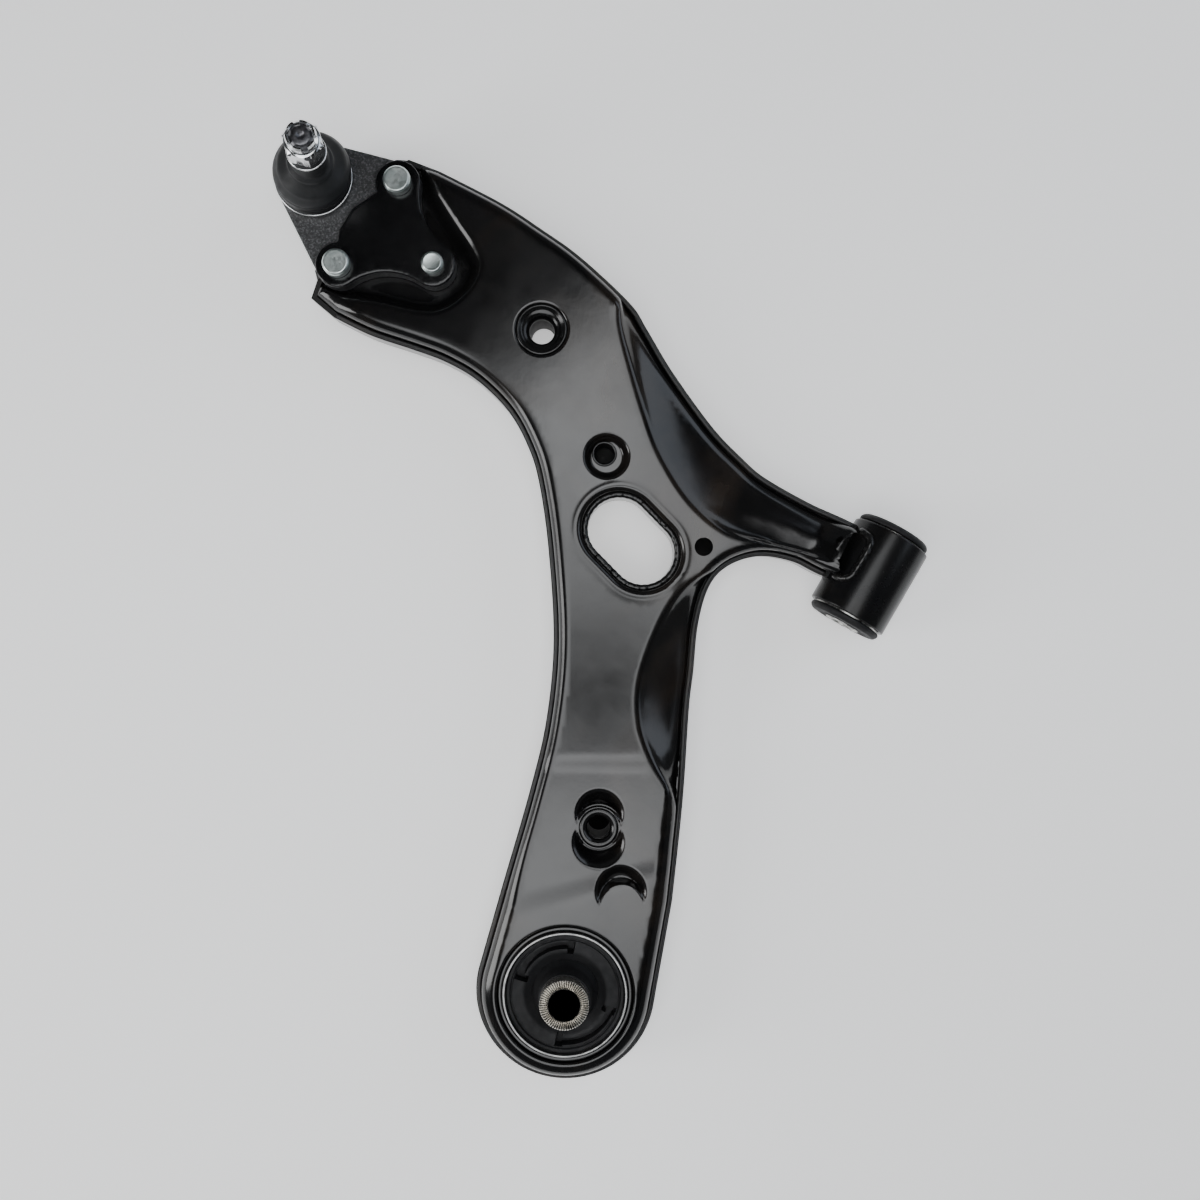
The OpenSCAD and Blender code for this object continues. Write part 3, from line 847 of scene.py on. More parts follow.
BUSH_RUBBER = rubber("bush_rubber", (0.008, 0.008, 0.009), (0.018, 0.018, 0.019), 0.5, 0.68)
BOOT_RUBBER = rubber("boot_rubber", (0.010, 0.0105, 0.011), (0.020, 0.021, 0.023), 0.42, 0.55)
ACETAL = rubber("acetal", (0.62, 0.62, 0.56), (0.72, 0.72, 0.66), 0.35, 0.45)


# ----------------------------------------------------------- the two pressings
def reach(xy, curve):
    """1 beside a curve's own length, fading out past its two ends."""
    out = np.ones(len(xy))
    for end, before in ((curve[0], curve[2]), (curve[-1], curve[-3])):
        t = (end - before) / np.linalg.norm(end - before)
        past = (xy - end) @ t
        close = np.linalg.norm(xy - end, axis=1) < 60
        out = np.where(close, out * (1 - ease(past / 10)), out)
    return out


def flank(xy, curve, room, depth, bend):
    """A flank that falls away from the crease at a curve to the arm's edge."""
    s = to_curve(xy, curve)
    t = np.clip(s, 0, None) / np.maximum(np.clip(s, 0, None) + np.maximum(room, 0), 1)
    fall = depth * (1 - (1 - t) ** bend) * ease((s + 1.2) / 5)
    roll = 0.8 * ease((s + 3.2) / 5.5)
    return (fall + roll) * reach(xy, curve)


def edge_radius(xy):
    """The upper sheet's edge is tight at the back and full at the rear end."""
    x, y = xy[:, 0], xy[:, 1]
    rear = ease((62 - y) / 50)
    side = ease((x + 30) / 18) * ease((150 - y) / 30)
    return 5.6 + 3.0 * np.maximum(rear, side)


def away_from(xy, place):
    return np.linalg.norm(xy - place, axis=1)


def upper_height(xy):
    """Height of the upper sheet's face: the flat top less what each feature takes."""
    x, y = xy[:, 0], xy[:, 1]
    room = -to_curve(xy, UPPER_OUTLINE, True)
    leg = ease((x + 46) / 56) * ease((y - 240) / 14)
    h = np.full(len(xy), TOP)
    h -= 0.6 * leg
    h -= 5.0 * ease((-286 - x) / 26)
    h -= flank(xy, FLANK_OUT_CURVE, room, 8.6, 1.5) * (1 - 0.92 * leg * ease((x + 6) / 18))
    h -= flank(xy, FLANK_IN_CURVE, room, 9.2, 1.35)
    # Two soft folds across the rear half
    across = to_curve(xy, FOLD_ACROSS)
    h -= 0.9 * (1 - ease((across + 4) / 10))
    hollow = to_curve(xy, FOLD_REAR)
    h += 0.9 * (1 - ease((hollow + 7) / 16))
    # Seat of the ball joint
    seat = seat_distance(xy)
    width = np.clip(seat + gap_to_forging(xy) - 0.5, 1.6, 8)
    soft = 0.8 + 2.5 * ease((y - 322) / 14)
    h = h + (SEAT - h) * ease((seat + soft) / (width + soft))
    # Dimple of the link collar
    h -= 6 * ease((LINK_DIMPLE_R + 0.4 - away_from(xy, LINK_DIMPLE)) / 4)
    # Pockets beside the rear collar
    a = POCKET_A_R - away_from(xy, POCKET_A)
    b = POCKET_B_R - away_from(xy, POCKET_B)
    boss = away_from(xy, REAR_COLLAR) - REAR_COLLAR_R
    h -= 7 * ease((np.maximum(a, b) + 0.6) / 9) * ease((boss - 0.4) / 2.4)
    # Half-moon pocket with its raised tongue
    c = HALF_MOON_R - away_from(xy, HALF_MOON)
    tongue = away_from(xy, TONGUE) - TONGUE_R
    h -= 7 * ease((c + 0.5) / 8) * ease((tongue + 0.6) / 2.6)
    # Dished rim of the front collar, lips of the window, outer edge
    h -= edge_drop(away_from(xy, FRONT_COLLAR) - FRONT_FLARE_R, 1.0)
    window = to_segment(xy, WINDOW_A, WINDOW_B) - WINDOW_UPPER_R
    h += 0.5 * ease((7 - window) / 5)
    h -= edge_drop(np.maximum(window, 0), 3.6)
    h -= edge_drop(away_from(xy, (0, 0)) - HOUSING_R, 1.4)
    h -= edge_drop(np.maximum(room, 0), edge_radius(xy))
    return np.maximum(h, 1.5)


def lower_height(xy):
    """Depth of the lower sheet's face."""
    h = np.full(len(xy), BOTTOM)
    h = h + (1.0 - h) * ease((seat_distance(xy) + 2) / 9)
    window = to_segment(xy, WINDOW_A, WINDOW_B) - WINDOW_R
    h -= edge_drop(np.maximum(window, 0), 3.0)
    # Two long shallow swages stiffen the underside
    for swage in SWAGES:
        h -= 2.2 * ease((9 - np.abs(to_curve(xy, smooth(swage)))) / 5)
    h -= edge_drop(away_from(xy, (0, 0)) - HOUSING_R, 1.0)
    h -= edge_drop(np.maximum(-to_curve(xy, OUTLINE, True), 0), 5.5)
    return h


SEAT_AREA = np.vstack([SEAT_CURVE, [(-400, 370), (-400, 270)]])
# Forging seen from above: three lobes joined by hollow sides, and two bars to the socket
PAD = np.vstack([
    concave(STUDS[1], LOBE_R, BOLT, LOBE_R, 34), concave(BOLT, LOBE_R, STUDS[0], LOBE_R, 34),
    [(-311, 330), (-317.5, 316), (-318, 303), (-314, 293)],
])
FORGING_LOOPS = [PAD] + [circle(p, LOBE_R, 48) for p in STUDS + [BOLT]]
FORGING_LOOPS += [bar_loop(np.array([BALL.x, BALL.y]), SOCKET_R, p, LOBE_R) for p in STUDS]
FOLD_ACROSS = np.array([(-95.0, 91.5), (0.0, 146.0)])
FOLD_REAR = np.array([(-64.0, 12.0), (16.0, 92.0)])
SWAGES = [[(-225, 312), (-160, 295), (-120, 262)], [(-78, 195), (-62, 150), (-42, 105)]]


def seat_distance(xy):
    """Distance inside the seat's edge, negative outside."""
    return np.where(inside(xy, SEAT_AREA), 1, -1) * np.abs(to_curve(xy, SEAT_CURVE))


def gap_to_forging(xy):
    """Distance from the ball joint's forging, negative under it."""
    out = np.full(len(xy), 1e3)
    for loop in FORGING_LOOPS:
        d = np.abs(to_curve(xy, loop, True))
        out = np.minimum(out, np.where(inside(xy, loop), -d, d))
    return out


def edge_rings(outline):
    """Lines along the rounded outer edge, whose radius differs from place to place."""
    r = edge_radius(outline)
    return [(shifted(outline, -r * (1 - math.sin(math.radians(g)))), True)
            for g in (84, 74, 62, 49, 35, 20, 0)]


def round_rings(centre, radii, step=1.3):
    """Circles with the same number of points, so their points line up."""
    count = int(2 * math.pi * radii[0] / step)
    return [(circle(centre, r, count), True) for r in radii]


def curve_rings(curve, offsets):
    """Copies of an open curve at each side of it."""
    t = np.gradient(curve, axis=0)
    t = t / np.linalg.norm(t, axis=1)[:, None]
    n = np.c_[-t[:, 1], t[:, 0]]
    return [(curve + n * o, False) for o in offsets]


def tube_cut(outline):
    """The outline cut back where the leg's end meets the front tube."""
    out = outline.copy()
    leg = (out[:, 1] > LEG_Y) & (out[:, 0] > LEG_END_X)
    out[leg, 0] = LEG_END_X
    keep = np.r_[True, np.linalg.norm(np.diff(out, axis=0), axis=1) > 0.05]
    return split_long(out[keep], 2.2)


def split_long(loop, longest):
    """A closed outline with more points on its long straight sides."""
    out = []
    for a, b in zip(loop, np.roll(loop, -1, 0)):
        n = max(math.ceil(np.linalg.norm(b - a) / longest), 1)
        out += [a + (b - a) * k / n for k in range(n)]
    return np.array(out)


def window_rings(r, lip):
    return [(stadium(WINDOW_A, WINDOW_B, r + lip * (1 - math.sin(math.radians(g)))), True)
            for g in (80, 68, 55, 40, 22, 0)]


def upper_shell():
    outline = tube_cut(UPPER_OUTLINE)
    rings = edge_rings(outline)
    rings += curve_rings(FLANK_OUT_CURVE, (-3, -2, -1, 0, 1, 2, 3.2, 4.6, 6.4, 9))
    rings += curve_rings(FLANK_IN_CURVE, (3, 2, 1, 0, -1, -2, -3.2, -4.6, -6.4))
    rings += curve_rings(SEAT_CURVE, (-7, -4.5, -2.4, -0.8, 0.2, 1.2, 2.2, 3.4, 4.6, 5.8, 7))
    rings += round_rings(LINK_DIMPLE, (8.2, 8.8, 9.8, 10.8, 11.8, 12.8, 13.5))
    rings += round_rings(POCKET_A, (7, 9, 10.6, 11.8, 12.8, 13.6, 14.2, 14.9))
    rings += round_rings(POCKET_B, (8, 10, 11.6, 12.8, 13.8, 14.6, 15.2, 15.9))
    rings += round_rings(REAR_COLLAR, (11.4, 12.2, 13, 13.8, 14.6))
    rings += round_rings(HALF_MOON, (8, 9.6, 11.2, 12.4, 13.4, 14.2, 14.8, 15.5))
    rings += round_rings(TONGUE, (10.7, 11.4, 12, 12.8, 13.6, 14.3))
    rings += round_rings(FRONT_COLLAR, (FRONT_FLARE_R + 0.3, FRONT_FLARE_R + 1, FRONT_FLARE_R + 1.8))
    rings += round_rings((0, 0), (38, 38.4, 39.1, 39.8))
    rings += window_rings(WINDOW_UPPER_R, 3.6)
    rings += [(stadium(WINDOW_A, WINDOW_B, WINDOW_UPPER_R + g), True) for g in (5, 6.5)]
    holes = [
        (circle((0, 0), HOUSING_R, 183), 9.5),
        (circle(FRONT_COLLAR, FRONT_FLARE_R, 70), 12.2),
        (circle(REAR_COLLAR, REAR_COLLAR_R, 56), 12),
        (circle(LINK_COLLAR, LINK_R, 36), 6.5),
        (circle(LOCATING_HOLE, LOCATING_R, 28), 12.2),
        (stadium(WINDOW_A, WINDOW_B, WINDOW_UPPER_R), 2.0),
    ]
    obj = pressed("arm_upper_pressing", outline, holes, upper_height, rings,
                  SKIRT_BOTTOM, 1, "arm", PAINT, 2.6)
    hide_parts("upper_shell")


def lower_shell():
    outline = tube_cut(OUTLINE)
    rings = [(shifted(outline, -5.5 * (1 - math.sin(math.radians(g)))), True)
             for g in (82, 68, 52, 36, 18, 0)]
    rings += curve_rings(SEAT_CURVE, (-2, -0.5, 1, 2.5, 4, 5.5, 7))
    rings += window_rings(WINDOW_R, 3.0)
    rings += round_rings((0, 0), (38, 38.4, 38.9))
    for swage in SWAGES:
        rings += curve_rings(smooth(swage), (-9, -7.5, -6, -4.5, 4.5, 6, 7.5, 9))
    holes = [
        (circle((0, 0), HOUSING_R, 110), 9.5),
        (circle(FRONT_COLLAR, 10, 40), 12.2),
        (circle(REAR_COLLAR, REAR_COLLAR_R, 36), 12.2),
        (stadium(WINDOW_A, WINDOW_B, WINDOW_R), -WINDOW_WELD_Z),
    ]
    obj = pressed("arm_lower_pressing", outline, holes, lower_height, rings,
                  -RIM, -1, "arm", LOWER_PAINT, 2.8)
    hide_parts("lower_shell")


# --------------------------------------------------------------------- welds
def outline_run(skip_tube, inset):
    """The arm's edge as open runs that leave out the front tube and finger ends."""
    loop = even(np.vstack([shifted(OUTLINE, -inset), shifted(OUTLINE, -inset)[:1]]), 0.8)
    keep = (loop[:, 0] < skip_tube) | (loop[:, 1] < LEG_Y)
    keep &= loop[:, 0] > -300
    runs, current = [], []
    for p, good in zip(loop, keep):
        if good:
            current.append(p)
        elif current:
            runs.append(current)
            current = []
    if current:
        runs.append(current)
    return [np.array(r) for r in runs if len(r) > 10]


def joined(name, parts, body, material, sharp=35):
    """Several meshes made into one piece."""
    obj = gathered(name, parts)
    dress(obj, body, material, sharp)
    return obj


def gathered(name, parts):
    """One bare object that takes the place of several."""
    mesh = bpy.data.meshes.new(name)
    with edited(mesh, load=False) as bm:
        for part in parts:
            bm.from_mesh(part.data)
    for part in parts:
        forget(part)
    return new_object(name, mesh)


def forget(obj):
    """Removes an object that was only a step towards a piece."""
    mesh = obj.data
    bpy.data.objects.remove(obj)
    bpy.data.meshes.remove(mesh)


def welds():
    parts = []
    for run in outline_run(10, 1.9):
        path = [(p[0], p[1], RIM + 0.35) for p in run]
        parts.append(swept("seam", path, 1.3, None, SEAM, ripple=0.02, pitch=5.0))
    seam = joined("seam_bead", parts, "arm", SEAM, 60)
    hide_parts("seam_weld")

    loop = stadium(WINDOW_A, WINDOW_B, 19.3)
    loop = even(np.vstack([loop, loop[:1]]), 0.7)[:-1]
    rng = random.Random(4)
    wander = [0.25 * math.sin(i * 0.11) + 0.18 * math.sin(i * 0.37 + 1) + rng.uniform(-0.06, 0.06)
              for i in range(len(loop))]
    path = [(p[0], p[1], WINDOW_WELD_Z + 0.7 + w) for p, w in zip(loop, wander)]
    window = swept("window_bead", path, 1.9, "arm", WELD, ripple=0.05, pitch=4.1,
                   closed=True)
    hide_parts("window_weld")

    def on_tube(x):
        return FRONT.z + math.sqrt(max(TUBE_R ** 2 - (x - FRONT.x) ** 2, 0))

    corners = [(13.6, 275.2), (18.0, 275.6), (20.9, 278.5), (21.6, 284), (21.8, 294), (21.0, 300),
               (18.2, 302.8), (13.8, 303.8)]
    top = [(x, y, on_tube(x) - 0.5) for x, y in even(smooth(corners), 0.7)]
    under = [(13.5, y, FRONT.z - 11.5) for y in np.linspace(274, 304, 36)]
    tube = joined("tube_bead", [
        swept("top", top, 2.3, None, WELD, ripple=0.05, pitch=4.6, sides=14),
        swept("under", under, 2.2, None, WELD, ripple=0.05, pitch=4.6),
    ], "arm", WELD, 60)
    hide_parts("tube_weld")


# ------------------------------------------------------------------- collars
def collars():
    front = revolve("front_collar_tube", soften([
        (6.75, -15), (10, -15), (10, 11.6), (14.0, 12.2), (14.05, 14.7), (13.0, 15.0),
        (11.2, 13.4), (9.6, 12.9), (8.4, 12.2), (7.3, 10.4), (6.75, 8.0),
    ], 0.5), "arm", COLLAR_PAINT, at(FRONT_COLLAR))
    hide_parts("front_collar")
    link = revolve("link_collar_tube", soften([
        (0, -12), (7, -12), (7, 9.8), (6.6, 10.5), (5.8, 10.4), (5.5, 9.8), (5.5, -11.4), (0, -9.5),
    ], 0.35), "arm", COLLAR_PAINT, at(LINK_COLLAR))
    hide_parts("link_collar")
    rear = revolve("rear_collar_tube", soften([
        (6.4, -15), (11, -15), (11, 13.2), (10.2, 14.5), (8.4, 14.5), (7.0, 13.4), (6.4, 12.0),
    ], 0.6), "arm", COLLAR_PAINT, at(REAR_COLLAR))
    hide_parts("rear_collar")


# ---------------------------------------------------------------- front bush
def front_bush():
    half = TUBE_L / 2
    face = half + 0.8
    tube = revolve("front_tube", soften([
        (FRONT_SHELL_R, -half), (TUBE_R, -half), (TUBE_R, half), (FRONT_SHELL_R, half),
    ], [0.4, 1.1, 1.1, 0.4]), "arm", TUBE_PAINT, ON_FRONT, 128)
    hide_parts("front_bush_tube")
    shell = revolve("front_outer_shell", soften([
        (FRONT_SHELL_IN, -face), (FRONT_SHELL_R, -face), (FRONT_SHELL_R, face), (FRONT_SHELL_IN, face),
    ], 0.3), "arm", STEEL, ON_FRONT)
    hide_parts("front_outer_sleeve")
    end = [(FRONT_SHELL_IN, 0), (17.45, face), (20.2, face), (20.9, face + 0.9), (20.8, face + 2.2),
           (19.4, face + 3.8), (15.6, face + 4.2), (13.4, face + 3.2), (12.0, face + 3.2),
           (11.2, face + 4.2), (10.04, face + 4.2)]
    profile = end + [(r, -z) for r, z in reversed(end[1:])]
    body = revolve("front_bush_rubber", soften(profile, 0.5, 3), "arm", BUSH_RUBBER,
                   ON_FRONT)
    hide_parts("front_rubber")
    sleeve = revolve("front_sleeve_steel", soften([
        (7.1, -31), (10, -31), (10, 31), (7.1, 31),
    ], 0.6), "front_sleeve", STEEL, ON_FRONT)
    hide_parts("front_inner_sleeve")


# ----------------------------------------------------------------- rear bush
VOID_STARTS = (109, 289)
VOID_SPAN = 84
VOID_IN = 24.8
VOID_OUT = 28.4


def void_depth(r, angle):
    """1 inside either curved void, 0 outside, for radius in mm and angle in radians."""
    deg = np.degrees(angle) % 360
    out = np.zeros(np.shape(r))
    for start in VOID_STARTS:
        along = (deg - start) % 360
        arm_part = (along > 0) & (along < VOID_SPAN) & (r > VOID_IN) & (r < VOID_OUT)
        for end in (3.5, VOID_SPAN - 3.5):
            knob = (np.abs(along - end) < 4.2) & (r > VOID_IN - 2.9) & (r < VOID_OUT + 0.9)
            out = np.where(knob, 1.0, out)
        out = np.where(arm_part, 1.0, out)
    return out


def rear_bush():
    housing = revolve("rear_housing_collar", soften([
        (RING_R, -18), (HOUSING_R, -18), (HOUSING_R, 11.6), (36.9, 13), (35.4, 13), (RING_R, 12.2),
    ], 0.5), "arm", PAINT, None, 144)
    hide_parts("rear_housing")
    ring = revolve("rear_ring", soften([
        (RING_IN, -20), (RING_R, -20), (RING_R, 15), (RING_IN, 15),
    ], 0.45), "arm", RING_STEEL, None, 144)
    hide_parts("rear_outer_ring")

    rows = [20.6, 21.6, 21.9, 22.4, 23.4, 24.6, 24.9, 25.6, 26.5, 27.5, 28.3, 28.5, 29.1, 29.4, 29.8,
            30.2, 30.8, 32.2, 32.8]
    top = [(r, rubber_face(r)) for r in rows]
    under = [(33.05, 11.2), (33.05, -13.2), (24, -13.5), (18.2, -9), (18.2, 8.6)]
    prof = top + under

    def sink(r, z, a):
        depth = np.where((z > 10.9) & (r < 32), void_depth(r, a), 0)
        return r, z - 7 * depth

    outer = revolve("rear_rubber_ring", prof, "arm", BUSH_RUBBER, None, 360, sink, 40)
    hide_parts("rear_rubber")

    core_profile = [(13.4, -23.6), (14.3, -23.2), (16.6, -11.2)]
    core_profile += [(20 * math.cos(math.radians(g)), 20 * math.sin(math.radians(g)))
                     for g in np.linspace(-33, 26, 14)]
    core_profile += [(17.4, 9.8), (16.2, 11.6), (15.2, 14), (14.5, 22), (14.1, 23.2), (13.4, 23.6)]
    core = revolve("rear_rubber_cone", core_profile, "rear_sleeve", BUSH_RUBBER, None, 96)
    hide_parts("rear_rubber_core")

    def serrate(r, z, a):
        tooth = 0.5 - 0.5 * np.cos(SLEEVE_TEETH * a + math.pi)
        face = np.where(z > 31.4, 1.0, 0) - np.where(z < -27.4, 1.0, 0)
        return r, z - 0.9 * tooth * face

    sleeve = revolve("rear_sleeve_steel", [
        (8.5, -27.2), (9.0, -27.9), (9.3, -28), (12.9, -28), (13.15, -27.9), (13.4, -27.2),
        (13.4, 31.2), (13.15, 31.9), (12.9, 32), (9.3, 32), (9.0, 31.9), (8.5, 31.2),
    ], "rear_sleeve", SERRATED, None, 360, serrate, 20)
    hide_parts("rear_inner_sleeve")


def rubber_face(r):
    """Height of the rear rubber's top face at a radius."""
    if r < 23:
        return 11.5 - 1.6 * (23 - r) / 2.4
    if 29.5 < r < 30.3:
        return 10.9
    if r > 30.3:
        return 11.1 if r > 32.5 else 12.1
    return 11.5


# --------------------------------------------------------------- ball joint
def extruded(loop, z0, z1):
    """A plain prism over a closed outline, as a bare object."""
    n = len(loop)
    verts = [(p[0] * MM, p[1] * MM, z * MM) for z in (z0, z1) for p in loop]
    faces = [tuple(range(n - 1, -1, -1)), tuple(range(n, 2 * n))]
    faces += [(k, (k + 1) % n, n + (k + 1) % n, n + k) for k in range(n)]
    mesh = bpy.data.meshes.new("prism")
    mesh.from_pydata(verts, [], faces)
    return new_object("prism", mesh)


def ball_joint():
    socket = np.array([BALL.x, BALL.y])
    s0, s1 = STUDS
    prisms = [extruded(loop, SEAT + 0.1, PAD_Z) for loop in FORGING_LOOPS[:4]]
    prisms += [extruded(loop, SEAT + 0.1, WEB_Z) for loop in FORGING_LOOPS[4:]]
    prisms.append(extruded(np.array([socket, s1, s0]), SEAT + 0.1, WEB_Z))
    prisms.append(extruded(circle(socket, SOCKET_R, 72), -18, WEB_Z + 1))
    prisms.append(extruded(circle(socket, 18, 64), WEB_Z - 2, 17.4))
    obj = gathered("ball_joint_forging", prisms)
    remesh = obj.modifiers.new("skin", "REMESH")
    remesh.mode = "VOXEL"
    remesh.voxel_size = 0.75 * MM
    relax = obj.modifiers.new("relax", "SMOOTH")
    relax.iterations = 6
    relax.factor = 0.5
    bake_modifiers(obj)
    cutter = revolve("bore", [
        (0, -19), (19, -19), (19, -15), (15.5, -15), (15.5, 12), (13.2, 12.05), (14.3, 13.9),
        (16.8, 18.5), (0, 18.5),
    ], None, FORGED, at((BALL.x, BALL.y)), 64)
    cut = obj.modifiers.new("bore", "BOOLEAN")
    cut.operation = "DIFFERENCE"
    cut.solver = "EXACT"
    cut.object = cutter
    bake_modifiers(obj)
    forget(cutter)
    dress(obj, "arm", FORGED, 50)
    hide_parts("ball_housing")

    cap = revolve("socket_bottom_cap", soften([
        (0, -19.6), (13, -19.2), (17.6, -20), (19, -19.2), (19, -15.5), (0, -15.5),
    ], [0, 2, 0.5, 0.4, 0.3, 0]), "arm", ZINC, at((BALL.x, BALL.y)))
    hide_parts("socket_cap")

    clamp = revolve("boot_clamp_band", soften([
        (19.85, -1.0), (21.35, -1.0), (21.55, 0), (21.35, 1.0), (19.85, 1.0),
    ], 0.35), "arm", BRIGHT, at((BALL.x, BALL.y), 18.3))
    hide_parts("boot_clamp_ring")

    stud_profile = [(0, -10.9), (6.1, -10.9)]
    stud_profile += [(12.5 * math.cos(math.radians(g)), 12.5 * math.sin(math.radians(g)))
                     for g in np.linspace(-60, 58, 26)]
    stud_profile += [(6.4, 11.6), (6.4, 22), (8.15, 26), (7.3, 52), (5.95, 53)]
    z = 53.4
    while z < 69.0:
        stud_profile += [(5.45, z), (5.95, z + 0.45), (5.95, z + 0.75)]
        z += 1.25
    stud_profile += [(5.4, 69.6), (4.9, 70.3), (4.4, 70.5), (2.3, 70.45), (1.6, 69.9), (0.8, 69.2),
                     (0, 69.0)]
    stud = revolve("ball_stud_steel", stud_profile, "stud", DARK_STEEL, ON_STUD, 72,
                   None, 30)
    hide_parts("ball_stud")
    castle_nut()


def castle_nut():
    """Hexagon below, six-toothed crown above, both with turned chamfers."""
    base, hexagon, total = 54.0, 11.0, 17.0
    turns = []
    for k in range(6):
        slot = 60 * k + 30
        turns += [slot - 13.4, slot - 12.6, slot - 6, slot, slot + 6, slot + 12.6, slot + 13.4, slot + 17,
                  slot + 23, slot + 26.5, slot + 30, slot + 33.5, slot + 37, slot + 43]
    turns = np.radians(np.array(sorted(set(round(t % 360, 3) for t in turns))))
    rows = [  # radius limit, height, what shapes the row
        (6.0, 0.8, "bore"), (6.6, 0.0, "bore"), (8.4, 0.0, "face"), (9.3, 0.0, "face"),
        (11.2, 1.1, "hex"), (11.2, hexagon - 1.5, "hex"), (9.45, hexagon - 0.35, "hex"),
        (8.9, hexagon, "face"), (8.25, hexagon + 0.2, "crown"), (8.2, hexagon + 0.7, "crown"),
        (8.2, total - 1.1, "crown"), (7.5, total, "crown"), (6.7, total, "crown"),
        (6.0, total - 0.6, "crown"), (6.0, hexagon + 0.7, "crown"), (6.0, hexagon, "bore"),
    ]
    verts = []
    for a in turns:
        away = abs(math.degrees(a) % 60 - 30)
        for r, z, kind in rows:
            if kind == "hex":
                r = min(r, hex_flat(NUT_AF, a))
            if kind == "crown" and away < 13:
                z = min(z, hexagon + 0.7)
            verts.append(ON_STUD @ Vector((r * math.cos(a), r * math.sin(a), base + z)))
    faces = ring_faces(len(turns), len(rows))
    nut = finish_mesh("castle_nut_zinc", verts, faces, "stud", BRIGHT, 18)
    with edited(nut.data) as bm:
        bmesh.ops.dissolve_degenerate(bm, dist=1e-7, edges=bm.edges)
    nut.data.set_sharp_from_angle(angle=math.radians(18))
    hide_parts("castle_nut")


def boot_rings(name, rings, replaced, segments=96):
    """A boot section lofted from rings of (lean 0 to 1, radius, height)."""
    verts, faces = [], []
    upright = Matrix.Translation(BALL)
    turn = Matrix.Rotation(LEAN_DIR, 4, "Z")
    for lean, r, h in rings:
        place = upright @ turn @ Matrix.Rotation(LEAN * lean, 4, "Y")
        for k in range(segments):
            g = 2 * math.pi * k / segments
            verts.append(place @ Vector((r * math.cos(g), r * math.sin(g), h)))
    n = len(rings)
    for i in range(n):
        j = (i + 1) % n
        for k in range(segments):
            m = (k + 1) % segments
            faces.append((i * segments + k, i * segments + m, j * segments + m, j * segments + k))
    obj = finish_mesh(name, verts, faces, None, BOOT_RUBBER, 40)
    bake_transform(obj)
    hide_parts(*replaced)
    return obj


def boot():
    """Heights count from the ball's centre, upright at the foot and along the stud above."""
    foot = [
        (0, 18.15, 13.6), (0, 20.7, 13.6), (0, 20.85, 14.1), (0, 19.8, 14.3), (0, 19.8, 16.3),
        (0, 20.8, 16.5), (0.05, 21.1, 17.2), (0.1, 20.6, 18.2), (0.15, 20.5, 19.2), (0.3, 20.9, 20.8),
        (0.45, 21.1, 22.6), (0.55, 21.1, 24.4), (0.57, 20.8, 24.8), (0.57, 20.0, 24.9), (0.55, 19.8, 24.4),
        (0.45, 19.8, 22.6), (0.3, 19.7, 20.8), (0.1, 19.1, 18.6), (0, 18.5, 16.8), (0, 18.15, 15),
    ]
    boot_rings("boot_bell_rubber", foot, ["boot_bell", "boot_waist"])
    cone = [
        (0.57, 20.0, 25.05), (0.57, 20.9, 25.1), (0.62, 21.0, 25.6), (0.72, 20.8, 26.6), (0.87, 20.1, 28),
        (0.97, 19.4, 29.2), (1, 18.7, 30.4), (1, 18.4, 31.2), (1, 17.0, 32.4),
        (1, 15.0, 33.8), (1, 13.4, 35.0), (1, 12.6, 35.7), (1, 12.3, 36.4), (1, 12.15, 37.5),
        (1, 11.7, 38.0), (1, 10.8, 38.5), (1, 10.25, 39.2), (1, 10.1, 40.4), (1, 10.1, 47.8),
        (1, 9.8, 48.7), (1, 9.25, 49.1), (1, 9.25, 51.2), (1, 9.8, 51.6), (1, 9.9, 52.7),
        (1, 9.5, 53.4), (1, 8.7, 53.6), (1, 7.7, 53.6), (1, 7.75, 51), (1, 8.1, 43), (1, 8.4, 37),
        (1, 9.6, 35.6), (1, 11.4, 34.4), (1, 14.2, 32.6), (1, 16.3, 31.2), (0.95, 17.9, 29.4),
        (0.85, 18.9, 27.6), (0.67, 19.6, 25.9),
    ]
    boot_rings("boot_cone_rubber", cone, ["boot_neck"])
    ring = revolve("boot_spring_clip", [
        (9.9 + 0.6 * math.cos(math.radians(g)), 50.2 + 0.6 * math.sin(math.radians(g)))
        for g in range(0, 360, 30)
    ], "boot_top", BRIGHT, ON_STUD)
    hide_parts("boot_spring_ring")


# ----------------------------------------------------------------- fasteners
def fasteners():
    heads = []
    for p in STUDS:
        heads.append(revolve("head", soften([
            (0, 21.7), (5.6, 22), (6.5, 22), (7.6, 20.7), (7.65, 16.6), (7.3, 16.05), (6.0, 16),
            (6.0, -12.4), (5.2, -13), (0, -13),
        ], [0, 0, 0.4, 0.5, 0.3, 0.2, 0, 0.3, 0.2, 0]), None, ZINC, at(p), 72))
    studs = joined("press_stud_pair", heads, "arm", ZINC, 30)
    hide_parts("press_studs")
    nuts = [hex_nut(at(p), -1.0, -11.0, 6.0) for p in STUDS]
    nut_pair = joined("flange_nut_pair", nuts, "arm", ZINC, 24)
    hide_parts("stud_nuts")
    bolt = joined("clamp_bolt_steel", [
        revolve("end", soften([
            (0, 19.5), (3.6, 19.8), (4.9, 20), (6.2, 18.6), (6.2, 16.1), (6.0, 15.9), (6.0, -1.1), (0, -1.1),
        ], [0, 0.5, 0.3, 0.3, 0.2, 0, 0, 0]), None, ZINC, at(BOLT), 60),
        hex_nut(at(BOLT), -1.0, -10.0, 0.0),
    ], "arm", ZINC, 24)
    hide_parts("clamp_bolt")


